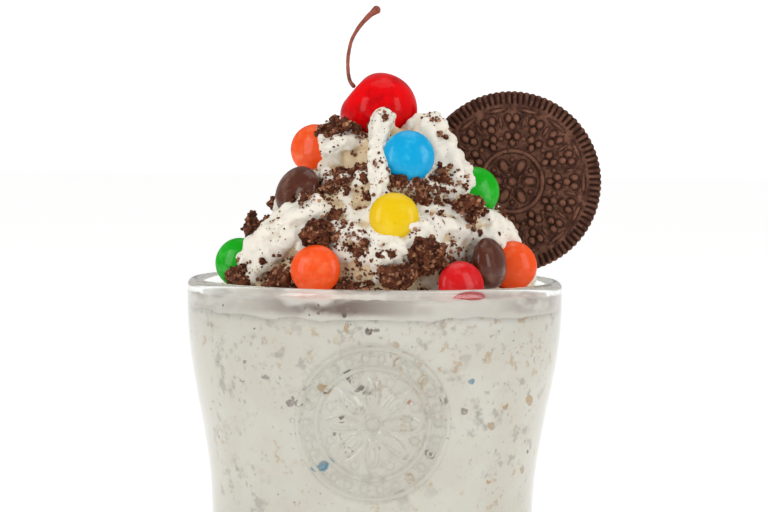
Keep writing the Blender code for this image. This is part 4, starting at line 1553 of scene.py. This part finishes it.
@dataclass
class Candies:
    """The coated candies: flattened balls, each turned its own way.

    Attributes:
        radius: The common radius.
        half: Half the common thickness.
        places: Each candy's solid, kind, middle, direction of its flat side, and share of the common size.
    """

    radius: float = 6.15
    half: float = 3.25
    places: tuple[tuple[str, Candy, Place, Place, float], ...] = (
        ("candy_blue", Candy.BLUE, (7.9, -21.6, 31), (0.12, -0.97, 0.20), 1.02),
        ("candy_yellow", Candy.YELLOW, (4.5, -31.6, 16.6), (0.02, -0.97, 0.24), 0.97),
        ("candy_orange_high", Candy.ORANGE, (-15.4, -3.6, 32.2), (-0.35, -0.92, 0.18), 1.0),
        ("candy_brown_left", Candy.BROWN, (-19, -18, 22.2), (-0.62, -0.66, 0.42), 1.03),
        ("candy_green_left", Candy.GREEN, (-33.2, -11, 4.2), (-0.22, -0.97, 0.12), 0.99),
        ("candy_orange_low", Candy.ORANGE, (-14, -34, 4), (-0.10, -0.98, 0.16), 0.97),
        ("candy_red", Candy.RED, (20.6, -33.4, 0.6), (0.40, -0.90, 0.16), 0.95),
        ("candy_brown_right", Candy.BROWN, (27.6, -25.6, 5.6), (0.86, -0.48, 0.18), 1.0),
        ("candy_orange_right", Candy.ORANGE, (33.7, -14.6, 4.4), (0.24, -0.96, 0.12), 0.98),
        ("candy_green_right", Candy.GREEN, (24.6, -10, 22.4), (0.30, -0.93, 0.22), 0.97),
        ("candy_yellow_back", Candy.YELLOW, (-17, 24.5, 13), (-0.50, 0.80, 0.34), 1.0),
        ("candy_blue_back", Candy.BLUE, (-1.5, 33.5, 6), (-0.05, 0.96, 0.28), 0.98),
        ("candy_red_back", Candy.RED, (-8.5, 15.5, 31), (-0.38, 0.83, 0.40), 1.0),
        ("candy_green_back", Candy.GREEN, (-28.5, 20.5, 4), (-0.78, 0.55, 0.30), 0.98),
    )

    def shell(self, size: float) -> Shell:
        """One candy lying flat: reach is the cosine of the latitude to the power 0.94, height its sine.

        Args:
            size: How much larger than the common size.

        Returns:
            The skin.
        """
        latitude = np.linspace(-0.5 * math.pi + 0.04, 0.5 * math.pi - 0.04, 40)[:, None]
        reach = size * self.radius * np.cos(latitude) ** 0.94
        height = size * self.half * np.sin(latitude)
        return shell_of_rings(round_z(reach, height, round_circle(72)))

    def place(self, centre: Place, direction: Place) -> Matrix:
        """Where a candy lies."""
        return Matrix.Translation(centre) @ facing(direction)

    def build(self) -> None:
        """Shows every candy, with one finish to a colour."""
        finishes = {}
        for candy in Candy:
            slot, colour, gloss = candy.value
            finishes[candy] = SugarShell(slot + "_finish", colour, gloss).material()
        for i, (name, candy, centre, direction, size) in enumerate(self.places):
            shell = self.shell(size).moved(self.place(centre, direction))
            shell = shell.pushed(0.05 * rough(shell.points, 4.0, 2, 50 + i))
            show(name + "_shell", shell, finishes[candy], (name,))


@dataclass
class Cherry:
    """The cherry, dimpled where its stem grows.

    Attributes:
        radius: The fruit's radius.
        dimple: Spread of the dimple, as an angle.
        centre: The fruit's middle.
        lean: The direction of its dimple.
        stem: The stem's curve, in rows of place and width.
    """

    radius: float = 9.55
    dimple: float = 0.42
    centre: Place = (0.5, -1.0, 41.6)
    lean: Place = (-0.76, 0.0, 0.65)
    stem: tuple[tuple[float, float, float, float], ...] = (
        (-5.5, -0.9, 47.4, 1.15),
        (-6.8, -0.7, 49.2, 1.0),
        (-7.3, -0.4, 52.4, 0.9),
        (-7.2, -0.1, 55.4, 0.9),
        (-6.5, 0.1, 58.9, 0.9),
        (-4.9, 0.3, 62.0, 1.0),
        (-2.7, 0.4, 64.7, 1.25),
        (-1.0, 0.5, 66.2, 1.75),
        (-0.1, 0.5, 66.9, 2.2),
        (0.5, 0.5, 67.3, 1.7),
    )

    def shell(self) -> Shell:
        """The fruit: a ball whose reach falls by a bell curve round the stem, with a little noise."""
        polar = np.linspace(0.015, math.pi - 0.015, 84)[:, None]
        hollow = np.exp(-((polar / self.dimple) ** 2))
        reach = self.radius * (1 - 0.17 * hollow) * (1 - 0.02 * np.cos(2 * polar))
        rings = round_z(reach * np.sin(polar), reach * np.cos(polar), round_circle(128))
        # The dimple level also sets the cherry finish's painted shade.
        shell = shell_of_rings(rings, {"dimple": np.repeat(hollow, rings.shape[1], axis=1)})
        shell = shell.moved(Matrix.Translation(self.centre) @ facing(self.lean))
        return shell.pushed(0.16 * rough(shell.points, 8.0, 2, 14))

    def stem_shell(self) -> Shell:
        """The stem: a round section of half the listed width, carried along the curve, slightly knotted."""
        path = curved(np.array(self.stem) * (1, 1, 1, 0.5), 0.12)
        path[:, 3] *= 1 + 0.07 * ripple(path[:, :3], 0.9, 61)
        rope = Rope(path, 5, 0, sides=18, depth=0.05, twist=0.3, pulse=0.0)
        return rope.shell()

    def build(self) -> None:
        """Shows the cherry and its stem."""
        show("syrup_cherry", self.shell(), SyrupCherry().material(), ("cherry",))
        finish = PlainFood("cherry_stem_finish", (150, 66, 40), (92, 34, 24), 0.45, 1.6).material()
        show("curved_stem", self.stem_shell(), finish, ("cherry_stem",))


@dataclass
class SandwichCookie:
    """The sandwich cookie: two fluted wafers with a generic wreath pressed in their faces, and a filling.

    Attributes:
        radius: Outer radius of a wafer.
        thickness: Its thickness without the relief.
        filling: Thickness of the filling.
        filling_radius: Its radius.
        gap: Room between the filling and a wafer.
        centre: The cookie's middle.
        flutes: Flutes round a wafer.
        relief: The pattern on its face.
    """

    radius: float = 22.95
    thickness: float = 3.3
    filling: float = 3.0
    filling_radius: float = 20.6
    gap: float = 0.3
    centre: Place = (33.9, 14.6, 23.9)
    flutes: int = 90
    relief: Relief = (
        Wreath(14, 18.1, 0.5, 2.4, 0.5),
        Wreath(16, 15.9, 1.1, 0.85, 0.6, -0.17),
        Wreath(16, 15.9, 1.1, 0.85, 0.6, 0.17),
        Wreath(16, 13.9, 1.0, 0.9, 0.6),
        Wreath(16, 15.2, 1.5, 0.4, 0.45, 0.5),
        Wreath(12, 11.5, 1.0, 0.85, 0.6, -0.18),
        Wreath(12, 11.5, 1.0, 0.85, 0.6, 0.18),
        Wreath(12, 9.7, 1.0, 0.8, 0.6),
        Wreath(12, 11.0, 0.6, 0.6, 0.5, 0.5),
        Ring(7.7, 0.55, 0.5),
        Wreath(6, 4.3, 1.7, 1.1, 0.6),
        Wreath(6, 5.4, 0.6, 0.6, 0.45, 0.5),
        Wreath(6, 2.4, 0.9, 0.3, 0.4, 0.5),
        Wreath(1, 0.0, 1.1, 1.1, 0.55),
    )

    def place(self) -> Matrix:
        """The cookie's own frame: its middle, with its axis to the front."""
        turn = Matrix.Rotation(math.radians(4), 4, "Z") @ Matrix.Rotation(math.radians(85), 4, "X")
        return Matrix.Translation(self.centre) @ turn

    def wafer(self) -> Shell:
        """A wafer face up: a worn edge, flutes that run over it onto the band, and the relief on its face.

        Returns:
            The skin, with the relief's height as a level, which the finish paints as highlight and shade.
        """
        far, high = self.radius, self.thickness
        # Rows of radius, height and the flutes' share of their depth
        back = [(0.4, 0, 0), (10, 0, 0)]
        edge = [(far - 1.4, 0, 0.2), (far - 0.5, 0.25, 0.7), (far, 0.9, 1), (far, 1.9, 1)]
        edge += [(far - 0.35, 2.55, 1), (far - 1.1, 2.95, 1), (far - 3.0, 3.2, 0.95), (far - 3.6, high, 0)]
        face = np.linspace((far - 3.75, high, 0), (0.35, high, 0), 110)
        rows = np.concatenate([back, evened(np.array(edge) * (1, 1, 0.001), 0.2) * (1, 1, 1000), face])
        out, up, share = (rows[:, k : k + 1] for k in range(3))
        angle = round_circle(6 * self.flutes)
        fluted = share * (0.5 - 0.5 * np.cos(self.flutes * angle)) ** 2
        level = relief_level(self.relief, out + 0 * angle, angle + 0 * out) * ease((up - high + 0.12) / 0.1)
        top = ease((up - 2.4) / 0.4) * 0.8 * fluted
        rings = round_z(out - 0.26 * fluted * (up < 2.7), up + level - top, angle)
        rings[..., 2] += 0.13 * rough(rings, 1.6, 3, 71) * (up > 0.5)
        # The relief level, lowered where the flutes notch the top, sets the painted highlight and painted
        # shade.
        return shell_of_rings(rings, {"relief": np.clip(1.3 * level - 0.55 * top, -0.6, 1.0)})

    def cream_layer(self) -> Shell:
        """The filling: a disc with a rounded, slightly uneven edge."""
        half = self.filling / 2
        edge = arc((self.filling_radius - 0.9, half - 0.9), 0.9, 90, 0, 8)
        under = edge[::-1] * (1, -1)
        line = np.concatenate([np.linspace((0.4, half), edge[0], 10)[:-1], edge, under])
        line = np.concatenate([line, np.linspace(under[-1], (0.4, -half), 10)[1:]])
        rings = turned(line, round_circle(260))
        push = 0.12 * rough(rings, 3.0, 2, 81)[..., None] * (rings * (1, 1, 0)) / self.filling_radius
        return shell_of_rings(rings + push)

    def build(self) -> None:
        """Shows the wafers and the filling."""
        # The wafer's colour; its deep colour for mottle, specks and painted shade in grooves; its pale colour
        # for specks and the painted highlight on raised relief.
        tones = ((116, 79, 63), (62, 37, 28), (126, 86, 68))
        finish = BakedCookie("baked_wafer_finish", *tones, 0.1, "relief").material()
        lift = Matrix.Translation((0, 0, self.filling / 2 + self.gap))
        wafer = self.wafer()
        for side, turn in (("front", 0.0), ("back", math.pi)):
            shell = wafer.moved(self.place() @ Matrix.Rotation(turn, 4, "Y") @ lift)
            show(f"wafer_{side}", shell, finish, (f"cookie_wafer_{side}",), 60)
        cream = PlainFood("filling_finish", (240, 235, 219), (228, 218, 196), 0.55, 4.0).material()
        show("wafer_filling", self.cream_layer().moved(self.place()), cream, ("cookie_filling",))


@dataclass
class Clearance:
    """Tells which places are clear of the candies, the chunks, the cherry and the cookie."""

    candies: Candies
    broken: BrokenCookie
    cherry: Cherry
    cookie: SandwichCookie

    def clear(self, places: Array, margin: Array) -> Array:
        """Whether each place lies outside every set-in piece by a margin.

        Args:
            places: The places.
            margin: How far each has to stay off, one to a place.

        Returns:
            True where the place is clear.
        """
        free = np.ones(len(places), bool)
        for _, _, centre, direction, size in self.candies.places:
            own = carried(places, self.candies.place(centre, direction).inverted())
            wide, high = size * self.candies.radius + margin, size * self.candies.half + margin
            free &= (own[:, 0] ** 2 + own[:, 1] ** 2) / wide**2 + own[:, 2] ** 2 / high**2 > 1
        for chunk in self.broken.chunks:
            free &= np.linalg.norm((places - chunk.centre) / chunk.half, axis=1) > 0.8
        free &= np.linalg.norm(places - self.cherry.centre, axis=1) > self.cherry.radius + 0.3 * margin
        own = carried(places, self.cookie.place().inverted())
        half = self.cookie.filling / 2 + self.cookie.gap + self.cookie.thickness + 0.5 * margin
        inside = (np.hypot(own[:, 0], own[:, 1]) < self.cookie.radius) & (np.abs(own[:, 2]) < half)
        return free & ~inside


# Studio


@dataclass
class Studio:
    """A pale floor, a white surround, three large softboxes and a camera at the photograph's angle.

    Attributes:
        world: The surround's strength as a light.
        white: Its strength where it is seen itself.
        floor: The floor's colour.
        glow: The floor's own light.
        half: Half the floor's side.
        drop: How far the floor lies under the glass.
        boxes: The softboxes: place, width, height and power.
        target: What they face.
        camera: The camera's place.
        pitch: How far it looks down.
        roll: How far it is rolled.
        lens: Its focal length in millimetres.
        sensor: Its sensor's width in millimetres.
    """

    world: float = 0.48
    white: float = 1.1
    floor: Colour = (244, 244, 243)
    glow: float = 0.55
    half: float = 6.0
    drop: float = 0.0002
    boxes: tuple[tuple[Place, float, float, float], ...] = (
        ((-0.85, -0.75, 0.55), 0.4, 0.8, 5.5),
        ((0.95, -0.6, 0.5), 0.4, 0.8, 4.5),
        ((0.1, 0.1, 1.25), 0.8, 0.8, 3.5),
    )
    target: Place = (0.0, 0.0, 0.14)
    camera: Place = (0.0022, -0.7, 0.1684)
    pitch: float = math.radians(3.09)
    roll: float = math.radians(0.65)
    lens: float = 131.9
    sensor: float = 36.0

    def ground(self) -> None:
        """The floor, a wide flat square, faintly glowing so that it ends in the white."""
        mesh = bpy.data.meshes.new("floor")
        signs = ((-1, -1), (1, -1), (1, 1), (-1, 1))
        corners = [(self.half * x, self.half * y, -self.drop) for x, y in signs]
        mesh.from_pydata(corners, [], [(0, 1, 2, 3)])
        sockets = {"Emission Color": (1, 1, 1, 1), "Emission Strength": self.glow, "Specular IOR Level": 0.1}
        board = Board("floor_finish", self.floor, 0.9, sockets)
        mesh.materials.append(board.material)
        floor = bpy.data.objects.new("floor", mesh)
        bpy.context.scene.collection.objects.link(floor)

    def lights(self) -> None:
        """The surround, plain white where it is seen itself and softer as a light, and the softboxes."""
        world = bpy.data.worlds.new("surround")
        world.use_nodes = True
        tree = world.node_tree
        seen = tree.nodes.new("ShaderNodeLightPath").outputs["Is Camera Ray"]
        strength = tree.nodes.new("ShaderNodeMath")
        strength.operation = "MULTIPLY_ADD"
        tree.links.new(seen, strength.inputs[0])
        strength.inputs[1].default_value = self.white - self.world
        strength.inputs[2].default_value = self.world
        tree.nodes["Background"].inputs["Color"].default_value = (1, 1, 1, 1)
        tree.links.new(strength.outputs[0], tree.nodes["Background"].inputs["Strength"])
        bpy.context.scene.world = world
        for i, (place, wide, high, power) in enumerate(self.boxes):
            light = bpy.data.lights.new(f"softbox_{i}", "AREA")
            light.shape = "RECTANGLE"
            light.size, light.size_y, light.energy = wide, high, power
            box = bpy.data.objects.new(light.name, light)
            way = Vector(self.target) - Vector(place)
            box.matrix_world = Matrix.Translation(place) @ way.to_track_quat("-Z", "Y").to_matrix().to_4x4()
            box.visible_transmission = False
            bpy.context.scene.collection.objects.link(box)

    def aim(self) -> None:
        """The camera: pitched down, then rolled about its own line of sight."""
        lens = bpy.data.cameras.new("camera")
        lens.lens, lens.sensor_width, lens.clip_start = self.lens, self.sensor, 0.01
        camera = bpy.data.objects.new("camera", lens)
        tilt = Matrix.Rotation(math.pi / 2 - self.pitch, 4, "X")
        camera.matrix_world = Matrix.Translation(self.camera) @ tilt @ Matrix.Rotation(self.roll, 4, "Z")
        bpy.context.scene.collection.objects.link(camera)
        bpy.context.scene.camera = camera

    def build(self) -> None:
        """Sets the studio up, with colours shown as they are on a screen."""
        self.ground()
        self.lights()
        self.aim()
        bpy.context.scene.view_settings.view_transform = "Standard"
        log.info("studio: %d softboxes", len(self.boxes))


def main() -> None:
    """Builds every piece and sets the studio up."""
    glass = Glass()
    broken, candies, cherry, cookie = BrokenCookie(), Candies(), Cherry(), SandwichCookie()
    glass.build()
    Shake(glass).build()
    cream = Cream().build()
    broken.build(cream, Clearance(candies, broken, cherry, cookie), glass)
    candies.build()
    cherry.build()
    cookie.build()
    Studio().build()
    bpy.context.view_layer.update()


if __name__ == "__main__":
    logging.basicConfig(level=logging.INFO, format="%(name)s %(message)s")
    main()
